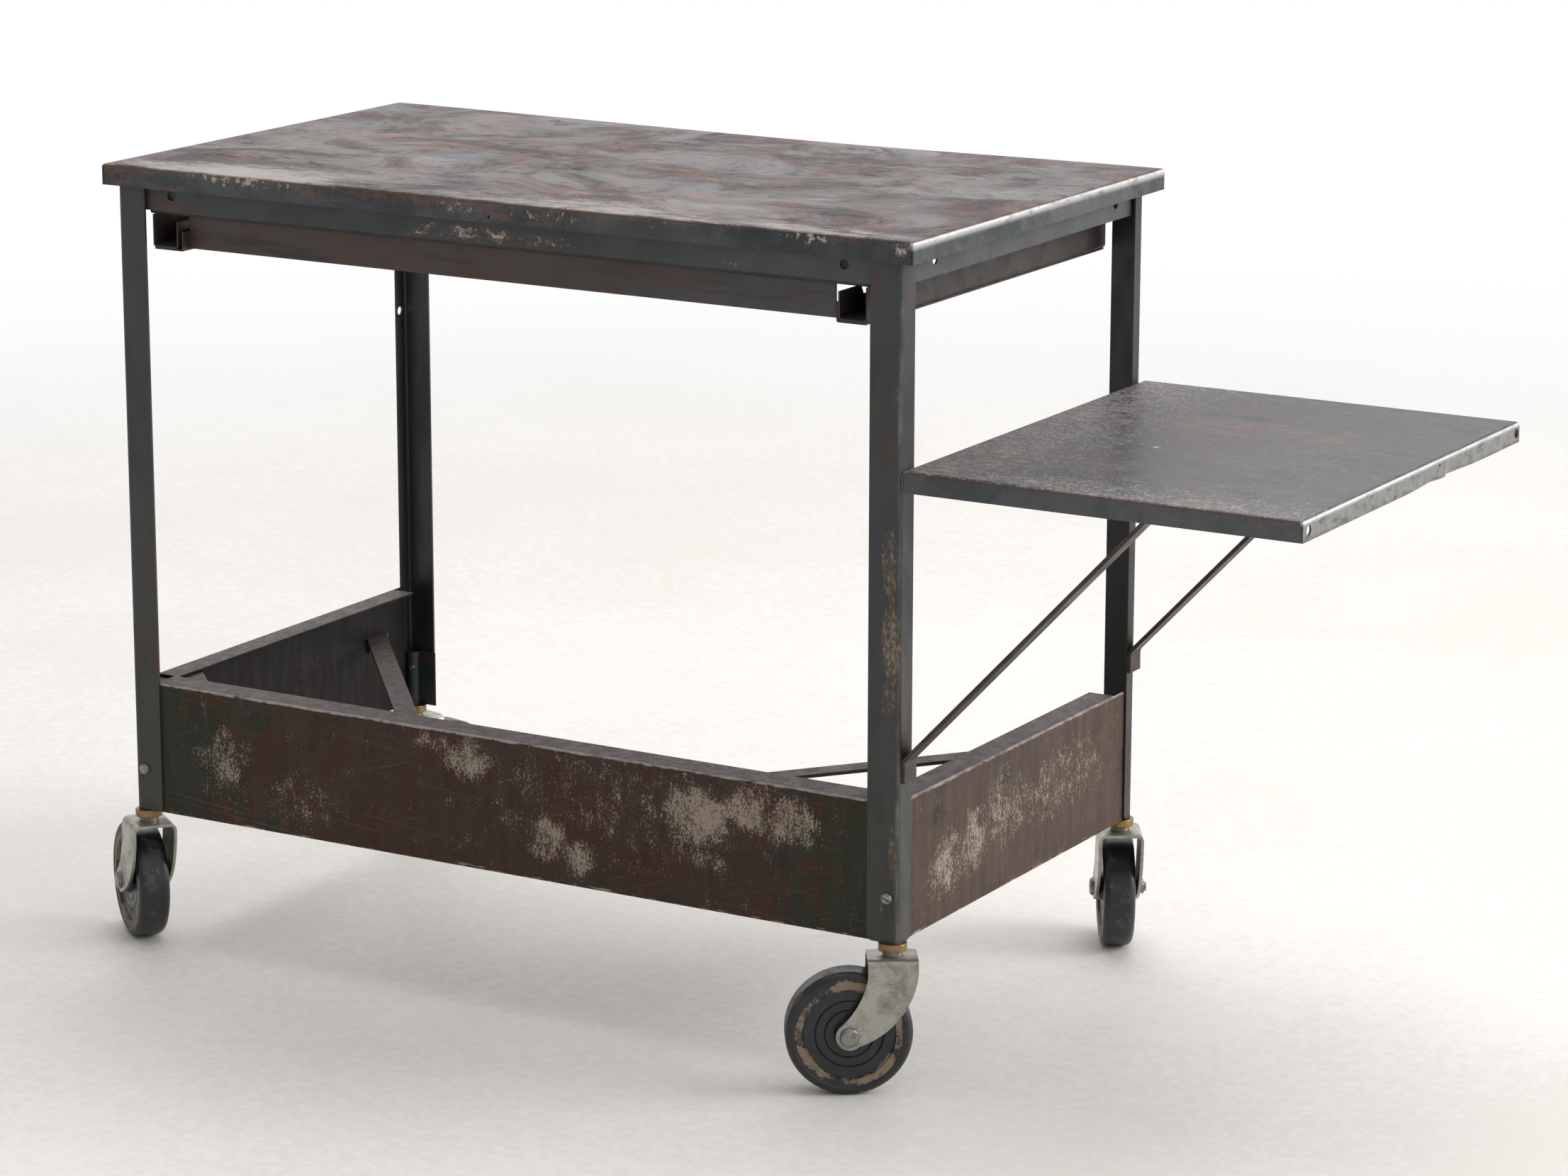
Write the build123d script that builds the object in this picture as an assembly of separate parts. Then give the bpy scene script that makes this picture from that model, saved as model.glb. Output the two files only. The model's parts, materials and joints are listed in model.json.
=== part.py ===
from build123d import *
import math
import os

# A sheet-steel rolling table with a fixed side leaf, on four swivel casters. Sizes are in millimetres.
# X runs along the table, Y from front to rear and Z up from the floor. The four legs are centred on
# X = 0, Y = 0 while the parts are made; the whole table is moved to its base centre at the end.

# Overall sizes
TOP_LENGTH = 762.0
TOP_DEPTH = 426.0
TABLE_HEIGHT = 673.0
FRAME_LENGTH = 738.4
FRAME_DEPTH = 408.1
FOOT_Z = 121.5
TOP_SETBACK = 4.45

# Stock
SHEET = 1.5
LEG_SHEET = 2.0
BAR = 3.2
BAR_WIDTH = 18.7
SEAM = 0.5

# Top pan and leaf pan
PAN_EDGE_RADIUS = 3.0
TOP_RIM = 17.5
LEAF_LENGTH = 331.5
LEAF_DEPTH = 414.2
LEAF_HEIGHT = 496.4
LEAF_RIM = 16.7
LEAF_SETBACK = 4.05
PIN_HOLE_RADIUS = 1.25
TOP_PIN_X = 0.8
TOP_PIN_DROP = 12.6
LEAF_PIN_Y = 49.4
LEAF_PIN_DROP = 5.6
LEAF_HOLE_FRONT_INSET = 10.0
LEAF_HOLE_REAR_INSET = 6.4

# Legs
LEG_FLANGE = 27.4
FRONT_LEG_SIDE = 20.8
REAR_LEG_SIDE = 14.8
LEG_FOLD_RADIUS = 4.5
LEG_CORNER_RADIUS = 5.0
BOLT_HOLE_RADIUS = 3.97
LEAF_BOLT_Z = 487.8
LEAF_BOLT_Y = 194.5

# Aprons
APRON_STEP = 2.0
APRON_BOTTOM = 636.5
APRON_LIP = 14.0
LONG_APRON_END_GAP = 2.7
LONG_APRON_STEP_GAP = 3.0
SIDE_APRON_END_GAP = 2.6
SIDE_APRON_STEP_GAP = 2.0
SIDE_LIP_INSET = 24.0
APRON_HOLE_RADIUS = 3.9
APRON_HOLE_Z = 649.5
LONG_APRON_HOLE_X = 317.0
SIDE_APRON_HOLES_Y = (-145.5, 160.5)

# Drawer runners and the rails that carry them
RUNNER_OUTER_X = 337.0
RUNNER_WIDTH = 25.5
RUNNER_HALF_LENGTH = 199.5
RUNNER_BOTTOM = 606.0
RUNNER_TOP = 633.3
RUNNER_INNER_TOP = 621.1
RUNNER_EAR_TOP = 628.5
RUNNER_EAR_LENGTH = 33.0
RUNNER_EAR_SLOPE = 4.0
RUNNER_FOLD_RADIUS = 3.0
STRIP_FOLD_RADIUS = 1.55
STRIP_LIP_TOP = 620.5
LEFT_STRIP_LIP_X = 306.3
RIGHT_STRIP_LIP_X = 310.0
RAIL_HALF_LENGTH = 340.0
RAIL_TOP = 655.0
RAIL_LIP = 13.5
CROSS_STRIP_Y = -190.5
CROSS_STRIP_END = 304.5

# Base skirt
SKIRT_TOP = 234.0
SKIRT_FOLD_RADIUS = 3.0
SKIRT_FRONT_END = 347.0
FRONT_LIP_INNER_Y = -175.0
SIDE_LIP_INNER_X = 343.0
SIDE_LIP_REAR_Y = 172.5
SKIRT_SIDE_FRONT_Y = -187.5
SKIRT_SIDE_REAR_Y = 190.5
GUSSET_REACH = 77.0
GUSSET_GAP_X = 0.7
GUSSET_GAP_Y = 0.5
STRAP_Z = 193.5
STRAP_THICKNESS = 3.0
STRAP_TAB = 10.0
STRAP_FRONT_X = 70.0
STRAP_SIDE_Y = {"left": 146.0, "right": 170.0}

# Leaf braces
BRACE_TAB_BOTTOM = 250.5
BRACE_BEND_Z = 267.2
BRACE_SLOPE = 46.6
BRACE_TOP_TAB = 22.0
BRACE_BEND_RADIUS = 5.0
FRONT_BRACE_Y = -200.0
REAR_BRACE_Y = 189.35

# Caster sockets and their screws
PIVOT_INSET_X = 7.7
PIVOT_INSET_Y = 6.5
SOCKET_SHEET = 1.2
SOCKET_BORE_RADIUS = 4.5
SOCKET_HEIGHT = 50.0
SOCKET_WALL_LAP = 2.0
FRONT_SOCKET_END_X = 348.0
REAR_SOCKET_END_X = 340.0
SCREW_RISE = 36.0
SCREW_X = 359.5
SCREW_RADIUS = 2.25
SCREW_REACH = 13.5
SCREW_HEAD_RADIUS = 4.75
SCREW_HEAD_HEIGHT = 2.6
SCREW_SLOT = 1.2
SCREW_SLOT_ANGLE = 25
HEAD_EDGE = 0.5

# Leaf bolts
LEAF_BOLT_RADIUS = 3.0
LEAF_BOLT_REACH = 10.7
HEX_ACROSS_FLATS = 10.0
BOLT_HEAD_HEIGHT = 4.0
HEAD_GAP = 0.05
NUT_HEIGHT = 5.5

# Casters
STEM_RADIUS = 4.4
STEM_RISE = 28.0
STEM_CHAMFER = 1.0
COLLAR_RADIUS = 11.4
COLLAR_HEIGHT = 6.5
COLLAR_EDGE_RADIUS = 0.8
RING_RADIUS = 8.0
RING_HEIGHT = 4.0
FORK_GAP = 0.1
FORK_SHEET = 2.5
FORK_WIDTH = 37.8
FORK_FOLD_RADIUS = 6.0
FORK_END_RADIUS = 10.9
FORK_LEADING_X = -19.2
FORK_LEADING_TOP = FOOT_Z - 22.0
FORK_LEADING_MIDDLE = (-6.2, FOOT_Z - 55.3)
FORK_TRAILING_X = 20.0
FORK_TRAILING_TOP = FOOT_Z - 24.0
FORK_TRAILING_MIDDLE = (28.0, FOOT_Z - 46.7)
FORK_END_ANGLES = (227, 313, 40)
RIVET_RADIUS = 7.0
RIVET_HEIGHT = 2.5
RIVET_GAP = 0.2
CASTER_TRAIL = 34.0
AXLE_DROP = 71.5
AXLE_RADIUS = 4.0
RUNNING_CLEARANCE = 0.05
AXLE_HEAD_RADIUS = 7.8
AXLE_HEAD_HEIGHT = 3.4
AXLE_NUT_ACROSS_FLATS = 11.3
AXLE_NUT_HEIGHT = 5.0
AXLE_END = 2.2
AXLE_CHAMFER = 0.6
WHEEL_RADIUS = 50.0
WHEEL_HALF_WIDTH = 13.5
WHEEL_HUB_HALF_WIDTH = 15.0
WHEEL_HUB_RADIUS = 10.5
WHEEL_DISC_START = 12.5
WHEEL_DISC_HALF_WIDTH = 11.0
WHEEL_GROOVES = (19.0, 26.7)
WHEEL_GROOVE = 0.8
WHEEL_BAND_START = 36.7
WHEEL_BAND_END = 43.0
WHEEL_BAND_HALF_WIDTH = 13.0
TREAD_EDGE_RADIUS = 5.9
BUSH_RADIUS = 6.0
BUSH_HALF_LENGTH = 16.2

# Direction in which each caster trails at rest, in degrees from +X towards +Y
CASTERS = {
    "front_left": (-1, -1, 142.0),
    "front_right": (1, -1, 213.0),
    "rear_left": (-1, 1, 75.0),
    "rear_right": (1, 1, 121.0),
}

LEG_FACE_X = FRAME_LENGTH / 2
LEG_FACE_Y = FRAME_DEPTH / 2
LEG_INNER_X = LEG_FACE_X - LEG_SHEET
LEG_INNER_Y = LEG_FACE_Y - LEG_SHEET
PAN_UNDERSIDE = TABLE_HEIGHT - SHEET
PIVOT_X = LEG_FACE_X - PIVOT_INSET_X
PIVOT_Y = LEG_FACE_Y - PIVOT_INSET_Y
AXLE_Z = FOOT_Z - AXLE_DROP
SIDES = {"left": -1, "right": 1}


def block(x_limits, y_limits, z_limits):
    """A box between two limits on each axis."""
    limits = (x_limits, y_limits, z_limits)
    size = [abs(end - start) for start, end in limits]
    centre = [(start + end) / 2 for start, end in limits]
    return Pos(*centre) * Box(*size)


def rod(radius, centre, axis, length):
    """A cylinder centred on a point and lying along X, Y or Z."""
    turn = {"X": Rot(0, 90, 0), "Y": Rot(90, 0, 0), "Z": Rot(0, 0, 0)}[axis]
    return Pos(*centre) * turn * Cylinder(radius, length)


def folded(points, thickness, radius, side):
    """The section of a sheet whose outer line follows the points, with rounded folds."""
    line = FilletPolyline(*points, radius=radius)
    return make_face(offset(line, amount=thickness, side=side))


def along_x(section, start, end):
    """Extrude a section drawn in Y and Z from one X to a higher one."""
    return extrude(Plane.YZ.offset(start) * section, end - start)


def along_y(section, start, end):
    """Extrude a section drawn in X and Z from one Y to a higher one."""
    return extrude(Plane.XZ.offset(-end) * section, end - start)


def along_z(section, start, end):
    """Extrude a section drawn in X and Y from one Z to a higher one."""
    return extrude(Pos(0, 0, start) * section, end - start)


def in_quadrant(shape, side_x, side_y=1):
    """Mirror a shape made at +X, +Y into another quarter of the table."""
    if side_x < 0:
        shape = mirror(shape, Plane.YZ)
    if side_y < 0:
        shape = mirror(shape, Plane.XZ)
    return shape


def hexagon(across_flats):
    """A hexagon given by its width across flats, with two flats facing along its X axis."""
    return RegularPolygon(across_flats / 2, 6, major_radius=False, rotation=30)


def pan(x_limits, y_limits, top, rim):
    """A tray of folded sheet, open below, with a seam beside each front and rear corner."""
    outer = block(x_limits, y_limits, (top - rim, top))
    outer = fillet(outer.faces().sort_by(Axis.Z)[-1].edges(), PAN_EDGE_RADIUS)
    inner_x = (x_limits[0] + SHEET, x_limits[1] - SHEET)
    inner_y = (y_limits[0] + SHEET, y_limits[1] - SHEET)
    inner = block(inner_x, inner_y, (top - rim - 1, top - SHEET))
    inner = fillet(inner.faces().sort_by(Axis.Z)[-1].edges(), PAN_EDGE_RADIUS - SHEET)
    tray = outer - inner
    for seam_x in (inner_x[0], inner_x[1] - SEAM):
        for seam_y in y_limits:
            tray -= block(
                (seam_x, seam_x + SEAM),
                (seam_y - SHEET, seam_y + SHEET),
                (top - rim - 1, top - PAN_EDGE_RADIUS),
            )
    return tray


def table_top():
    """The top pan, with a pin hole at the middle of its front rim."""
    front = TOP_SETBACK - TOP_DEPTH / 2
    rear = TOP_SETBACK + TOP_DEPTH / 2
    tray = pan((-TOP_LENGTH / 2, TOP_LENGTH / 2), (front, rear), TABLE_HEIGHT, TOP_RIM)
    pin_z = TABLE_HEIGHT - TOP_PIN_DROP
    return tray - rod(PIN_HOLE_RADIUS, (TOP_PIN_X, front, pin_z), "Y", 4 * SHEET)


def side_leaf():
    """The lower side leaf, bolted to the right-hand legs through its inner rim."""
    outer_x = LEG_FACE_X + LEAF_LENGTH
    front = LEAF_SETBACK - LEAF_DEPTH / 2
    rear = LEAF_SETBACK + LEAF_DEPTH / 2
    tray = pan((LEG_FACE_X, outer_x), (front, rear), LEAF_HEIGHT, LEAF_RIM)
    for bolt_y in (-LEAF_BOLT_Y, LEAF_BOLT_Y):
        tray -= rod(BOLT_HOLE_RADIUS, (LEG_FACE_X, bolt_y, LEAF_BOLT_Z), "X", 4 * SHEET)
    for hole_y in (front + LEAF_HOLE_FRONT_INSET, rear - LEAF_HOLE_REAR_INSET):
        tray -= rod(APRON_HOLE_RADIUS, (outer_x, hole_y, LEAF_BOLT_Z), "X", 4 * SHEET)
    pin_z = LEAF_HEIGHT - LEAF_PIN_DROP
    return tray - rod(PIN_HOLE_RADIUS, (outer_x, LEAF_PIN_Y, pin_z), "X", 4 * SHEET)


def leg(side_x, side_y):
    """A folded leg: a wide flange across the table's face and a narrow one along its side."""
    side_depth = FRONT_LEG_SIDE if side_y < 0 else REAR_LEG_SIDE
    outline = [
        (LEG_FACE_X - LEG_FLANGE, LEG_FACE_Y),
        (LEG_FACE_X, LEG_FACE_Y),
        (LEG_FACE_X, LEG_FACE_Y - side_depth),
    ]
    section = folded(outline, LEG_SHEET, LEG_FOLD_RADIUS, Side.RIGHT)
    body = along_z(section, FOOT_Z, PAN_UNDERSIDE)
    lowest = body.edges().group_by(Axis.Z)[0]
    flange_ends = [edge for edge in lowest if abs(edge.length - LEG_SHEET) < 0.01]
    body = fillet(flange_ends, LEG_CORNER_RADIUS)
    body -= rod(BOLT_HOLE_RADIUS, (LEG_FACE_X, LEAF_BOLT_Y, LEAF_BOLT_Z), "X", 3 * LEG_SHEET)
    screw_z = FOOT_Z + SCREW_RISE
    body -= rod(SCREW_RADIUS, (SCREW_X, LEG_FACE_Y, screw_z), "Y", 3 * LEG_SHEET)
    return in_quadrant(body, side_x, side_y)


def stepped_panel(half_length, face, step_start):
    """Plan section of an apron at +Y, whose ends step out to lie against the legs' inner faces."""
    stepped_face = face + APRON_STEP
    step_end = step_start + 2 * APRON_STEP
    outline = [
        (-half_length, stepped_face),
        (-step_end, stepped_face),
        (-step_start, face),
        (step_start, face),
        (step_end, stepped_face),
        (half_length, stepped_face),
    ]
    return folded(outline, SHEET, SHEET, Side.RIGHT)


def long_apron(side_y):
    """The front or rear apron under the top, with a lip welded to the top's underside."""
    face = LEG_INNER_Y - APRON_STEP
    step_start = LEG_FACE_X - LEG_FLANGE + LONG_APRON_STEP_GAP
    section = stepped_panel(LEG_INNER_X - LONG_APRON_END_GAP, face, step_start)
    panel = along_z(section, APRON_BOTTOM, PAN_UNDERSIDE)
    panel += block(
        (-RAIL_HALF_LENGTH, RAIL_HALF_LENGTH),
        (face - SHEET - APRON_LIP, face - SHEET),
        (PAN_UNDERSIDE - SHEET, PAN_UNDERSIDE),
    )
    for hole_x in (-LONG_APRON_HOLE_X, LONG_APRON_HOLE_X):
        panel -= rod(APRON_HOLE_RADIUS, (hole_x, face, APRON_HOLE_Z), "Y", 4 * SHEET)
    return in_quadrant(panel, 1, side_y)


def side_apron(side_x):
    """The left or right apron, made like the long ones and turned a quarter."""
    face = LEG_INNER_X - APRON_STEP
    step_start = LEG_FACE_Y - REAR_LEG_SIDE + SIDE_APRON_STEP_GAP
    section = stepped_panel(LEG_INNER_Y - SIDE_APRON_END_GAP, face, step_start)
    panel = along_z(section, APRON_BOTTOM, PAN_UNDERSIDE)
    lip_half_length = LEG_FACE_Y - SIDE_LIP_INSET
    panel += block(
        (-lip_half_length, lip_half_length),
        (face - SHEET - APRON_LIP, face - SHEET),
        (PAN_UNDERSIDE - SHEET, PAN_UNDERSIDE),
    )
    panel = Rot(0, 0, -90) * panel
    for hole_y in SIDE_APRON_HOLES_Y:
        panel -= rod(APRON_HOLE_RADIUS, (face, hole_y, APRON_HOLE_Z), "X", 4 * SHEET)
    return in_quadrant(panel, side_x)


def hanger_rail(side_y):
    """The angle behind a long apron, from which the drawer runners hang."""
    face = LEG_INNER_Y - APRON_STEP - SHEET
    outline = [(face, RAIL_TOP), (face, RUNNER_TOP), (face - SHEET - RAIL_LIP, RUNNER_TOP)]
    section = folded(outline, SHEET, 2 * SHEET, Side.RIGHT)
    rail = along_x(section, -RAIL_HALF_LENGTH, RAIL_HALF_LENGTH)
    return in_quadrant(rail, 1, side_y)


def drawer_runner(side_x):
    """A channel from front to rear; its inner wall steps down behind a front ear."""
    inner_x = RUNNER_OUTER_X - RUNNER_WIDTH
    outline = [
        (RUNNER_OUTER_X, RUNNER_TOP),
        (RUNNER_OUTER_X, RUNNER_BOTTOM),
        (inner_x, RUNNER_BOTTOM),
        (inner_x, RUNNER_EAR_TOP),
    ]
    section = folded(outline, SHEET, RUNNER_FOLD_RADIUS, Side.RIGHT)
    channel = along_y(section, -RUNNER_HALF_LENGTH, RUNNER_HALF_LENGTH)
    ear_end = RUNNER_EAR_LENGTH - RUNNER_HALF_LENGTH
    relief = Polygon(
        (ear_end, RUNNER_EAR_TOP + 1),
        (ear_end, RUNNER_EAR_TOP),
        (ear_end + RUNNER_EAR_SLOPE, RUNNER_INNER_TOP),
        (RUNNER_HALF_LENGTH + 1, RUNNER_INNER_TOP),
        (RUNNER_HALF_LENGTH + 1, RUNNER_EAR_TOP + 1),
        align=None,
    )
    channel -= along_x(relief, inner_x - 1, inner_x + 2 * SHEET)
    return in_quadrant(channel, side_x)


def runner_strip(side_x, lip_x):
    """The angle strip under a drawer runner, with its upstanding lip on the inner side."""
    outline = [
        (RUNNER_OUTER_X - SHEET, RUNNER_BOTTOM - SHEET),
        (lip_x, RUNNER_BOTTOM - SHEET),
        (lip_x, STRIP_LIP_TOP),
    ]
    section = folded(outline, SHEET, STRIP_FOLD_RADIUS, Side.RIGHT)
    strip = along_y(section, -RUNNER_HALF_LENGTH, RUNNER_HALF_LENGTH)
    return in_quadrant(strip, side_x)


def cross_strip():
    """The flat strip behind the front apron that ties the left runner strip to the front rail."""
    return block(
        (-LEFT_STRIP_LIP_X, CROSS_STRIP_END),
        (CROSS_STRIP_Y, CROSS_STRIP_Y + SHEET),
        (RUNNER_BOTTOM, RUNNER_TOP),
    )


def skirt_front():
    """The front panel of the base skirt, with its inward lip on top."""
    outline = [
        (-LEG_INNER_Y, FOOT_Z),
        (-LEG_INNER_Y, SKIRT_TOP),
        (FRONT_LIP_INNER_Y, SKIRT_TOP),
    ]
    section = folded(outline, SHEET, SKIRT_FOLD_RADIUS, Side.RIGHT)
    return along_x(section, -SKIRT_FRONT_END, SKIRT_FRONT_END)


def skirt_side(side_x):
    """A side panel of the base skirt, with its inward lip on top."""
    outline = [
        (LEG_INNER_X, FOOT_Z),
        (LEG_INNER_X, SKIRT_TOP),
        (SIDE_LIP_INNER_X, SKIRT_TOP),
    ]
    section = folded(outline, SHEET, SKIRT_FOLD_RADIUS, Side.LEFT)
    panel = along_y(section, SKIRT_SIDE_FRONT_Y, SKIRT_SIDE_REAR_Y)
    lip_x = (SIDE_LIP_INNER_X - 1, LEG_INNER_X - SHEET)
    lip_z = (SKIRT_TOP - SKIRT_FOLD_RADIUS, SKIRT_TOP + 1)
    for cut_y in ((SKIRT_SIDE_FRONT_Y, FRONT_LIP_INNER_Y), (SIDE_LIP_REAR_Y, SKIRT_SIDE_REAR_Y)):
        panel -= block(lip_x, cut_y, lip_z)
    return in_quadrant(panel, side_x)


def corner_gussets():
    """The two triangular plates under the lips at the front corners of the skirt."""
    corner_x = LEG_INNER_X - SKIRT_FOLD_RADIUS - GUSSET_GAP_X
    corner_y = LEG_INNER_Y - SKIRT_FOLD_RADIUS - GUSSET_GAP_Y
    outline = Polygon(
        (corner_x, corner_y),
        (corner_x, corner_y - GUSSET_REACH),
        (corner_x - GUSSET_REACH, corner_y),
        align=None,
    )
    plate = along_z(outline, SKIRT_TOP - 2 * SHEET, SKIRT_TOP - SHEET)
    return [in_quadrant(plate, side_x, -1) for side_x in (-1, 1)]


def diagonal_strap(side):
    """A flat bar across a front corner of the base, with a tab turned down at each end."""
    side_y = STRAP_SIDE_Y[side]
    side_x = LEG_INNER_X - SHEET
    front_y = SHEET - LEG_INNER_Y
    run_x = side_x - STRAP_FRONT_X
    run_y = side_y - front_y
    run = math.hypot(run_x, run_y)
    half_y = BAR_WIDTH / 2 * run / run_x
    half_x = BAR_WIDTH / 2 * run / run_y
    outline = Polygon(
        (side_x, side_y - half_y),
        (side_x, side_y + half_y),
        (STRAP_FRONT_X - half_x, front_y),
        (STRAP_FRONT_X + half_x, front_y),
        align=None,
    )
    top = STRAP_Z + STRAP_THICKNESS
    bar = along_z(outline, STRAP_Z, top)
    bar += block(
        (side_x - STRAP_THICKNESS, side_x),
        (side_y - half_y, side_y + half_y),
        (STRAP_Z - STRAP_TAB, top),
    )
    bar += block(
        (STRAP_FRONT_X - half_x, STRAP_FRONT_X + half_x),
        (front_y, front_y + STRAP_THICKNESS),
        (STRAP_Z - STRAP_TAB, top),
    )
    return in_quadrant(bar, SIDES[side])


def leaf_brace(front_y):
    """A bent flat bar from a right-hand leg up to the underside of the leaf."""
    face_x = LEG_FACE_X + BAR
    tab_z = LEAF_HEIGHT - SHEET - BAR
    rise_end = face_x + (tab_z - BRACE_BEND_Z) / math.tan(math.radians(BRACE_SLOPE))
    outline = [
        (face_x, BRACE_TAB_BOTTOM),
        (face_x, BRACE_BEND_Z),
        (rise_end, tab_z),
        (rise_end + BRACE_TOP_TAB, tab_z),
    ]
    section = folded(outline, BAR, BRACE_BEND_RADIUS, Side.LEFT)
    return along_y(section, front_y, front_y + BAR_WIDTH)


def caster_socket(side_x, side_y):
    """The pressed half tube that holds a caster stem in the corner of a leg."""
    outer_radius = SOCKET_BORE_RADIUS + SOCKET_SHEET
    end_x = FRONT_SOCKET_END_X if side_y < 0 else REAR_SOCKET_END_X
    tube = Pos(PIVOT_X, PIVOT_Y) * (Circle(outer_radius) - Circle(SOCKET_BORE_RADIUS))
    outer_half = Pos(PIVOT_X, PIVOT_Y + outer_radius) * Rectangle(3 * outer_radius, 2 * outer_radius)
    section = tube - outer_half
    near_wall = block_outline((PIVOT_X + SOCKET_BORE_RADIUS, LEG_INNER_X), (PIVOT_Y, PIVOT_Y + SOCKET_WALL_LAP))
    far_wall_x = (PIVOT_X - outer_radius, PIVOT_X - SOCKET_BORE_RADIUS)
    far_wall = block_outline(far_wall_x, (PIVOT_Y, LEG_INNER_Y))
    plate = block_outline((end_x, far_wall_x[1]), (LEG_INNER_Y - SOCKET_SHEET, LEG_INNER_Y))
    section = section + near_wall + far_wall + plate
    socket = along_z(section, FOOT_Z, FOOT_Z + SOCKET_HEIGHT)
    screw_z = FOOT_Z + SCREW_RISE
    socket -= rod(SCREW_RADIUS, (SCREW_X, PIVOT_Y, screw_z), "Y", 4 * outer_radius)
    return in_quadrant(socket, side_x, side_y)


def block_outline(x_limits, y_limits):
    """A rectangle between two limits on each axis."""
    centre_x = (x_limits[0] + x_limits[1]) / 2
    centre_y = (y_limits[0] + y_limits[1]) / 2
    return Pos(centre_x, centre_y) * Rectangle(x_limits[1] - x_limits[0], y_limits[1] - y_limits[0])


def socket_screws():
    """Four slotted round-head screws, through the leg faces above the caster stems."""
    screw_z = FOOT_Z + SCREW_RISE
    head = Cylinder(SCREW_HEAD_RADIUS, SCREW_HEAD_HEIGHT, align=(Align.CENTER, Align.CENTER, Align.MIN))
    head = fillet(head.edges().sort_by(Axis.Z)[-1], SCREW_HEAD_HEIGHT - HEAD_EDGE)
    slot_z = (SCREW_HEAD_HEIGHT - SCREW_SLOT, SCREW_HEAD_HEIGHT + 1)
    slot_x = (-SCREW_HEAD_RADIUS - 1, SCREW_HEAD_RADIUS + 1)
    head -= block(slot_x, (-SCREW_SLOT / 2, SCREW_SLOT / 2), slot_z)
    shank = Pos(0, 0, -SCREW_REACH / 2) * Cylinder(SCREW_RADIUS, SCREW_REACH)
    screw = Pos(SCREW_X, LEG_FACE_Y, screw_z) * Rot(-90, 0, 0) * Rot(0, 0, SCREW_SLOT_ANGLE) * (head + shank)
    return [in_quadrant(screw, side_x, side_y) for side_x, side_y, _ in CASTERS.values()]


def leaf_bolts():
    """The two hexagon bolts that hold the leaf's inner rim to the right-hand legs."""
    head_x = LEG_FACE_X + SHEET + HEAD_GAP
    head = along_x(hexagon(HEX_ACROSS_FLATS), head_x, head_x + BOLT_HEAD_HEIGHT)
    shank = rod(LEAF_BOLT_RADIUS, (head_x - LEAF_BOLT_REACH / 2, 0, 0), "X", LEAF_BOLT_REACH)
    bolt = head + shank
    return [Pos(0, bolt_y, LEAF_BOLT_Z) * bolt for bolt_y in (-LEAF_BOLT_Y, LEAF_BOLT_Y)]


def leaf_nuts():
    """The two nuts inside the right-hand legs."""
    section = hexagon(HEX_ACROSS_FLATS) - Circle(LEAF_BOLT_RADIUS)
    nut = along_x(section, LEG_INNER_X - NUT_HEIGHT, LEG_INNER_X)
    return [Pos(0, bolt_y, LEAF_BOLT_Z) * nut for bolt_y in (-LEAF_BOLT_Y, LEAF_BOLT_Y)]


def tube(outer_radius, inner_radius, start, end):
    """An upright tube between two heights."""
    return along_z(Circle(outer_radius) - Circle(inner_radius), start, end)


def stem():
    """The caster's stem: a shank riveted over below the fork."""
    plate_bottom = FOOT_Z - COLLAR_HEIGHT - RING_HEIGHT - FORK_GAP - FORK_SHEET
    rivet_top = plate_bottom - RIVET_GAP
    shank = along_z(Circle(STEM_RADIUS), rivet_top, FOOT_Z + STEM_RISE)
    shank = chamfer(shank.edges().sort_by(Axis.Z)[-1], STEM_CHAMFER)
    rivet = along_z(Circle(RIVET_RADIUS), rivet_top - RIVET_HEIGHT, rivet_top)
    rivet = fillet(rivet.edges().sort_by(Axis.Z)[0], RIVET_HEIGHT - HEAD_EDGE)
    return shank + rivet


def collar():
    """The brass collar under the leg."""
    ring = tube(COLLAR_RADIUS, STEM_RADIUS, FOOT_Z - COLLAR_HEIGHT, FOOT_Z)
    outer_edges = [edge for edge in ring.edges().filter_by(GeomType.CIRCLE) if edge.radius > STEM_RADIUS + 1]
    return fillet(outer_edges, COLLAR_EDGE_RADIUS)


def thrust_ring():
    """The ring on which the fork swivels."""
    top = FOOT_Z - COLLAR_HEIGHT
    return tube(RING_RADIUS, STEM_RADIUS, top - RING_HEIGHT, top)


def fork_end(angle):
    """A point on the round lower end of the fork's arms, as X and Z."""
    turn = math.radians(angle)
    return (CASTER_TRAIL + FORK_END_RADIUS * math.cos(turn), AXLE_Z + FORK_END_RADIUS * math.sin(turn))


def fork_side():
    """Side outline of the fork: two curved edges that run down and back to the axle."""
    top = FOOT_Z + 1
    leading_top = (FORK_LEADING_X, FORK_LEADING_TOP)
    trailing_top = (FORK_TRAILING_X, FORK_TRAILING_TOP)
    start, middle, end = [fork_end(angle) for angle in FORK_END_ANGLES]
    outline = Curve() + [
        Line((FORK_LEADING_X, top), leading_top),
        ThreePointArc(leading_top, FORK_LEADING_MIDDLE, start),
        ThreePointArc(start, middle, end),
        ThreePointArc(end, FORK_TRAILING_MIDDLE, trailing_top),
        Line(trailing_top, (FORK_TRAILING_X, top)),
        Line((FORK_TRAILING_X, top), (FORK_LEADING_X, top)),
    ]
    return make_face(outline)


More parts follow.
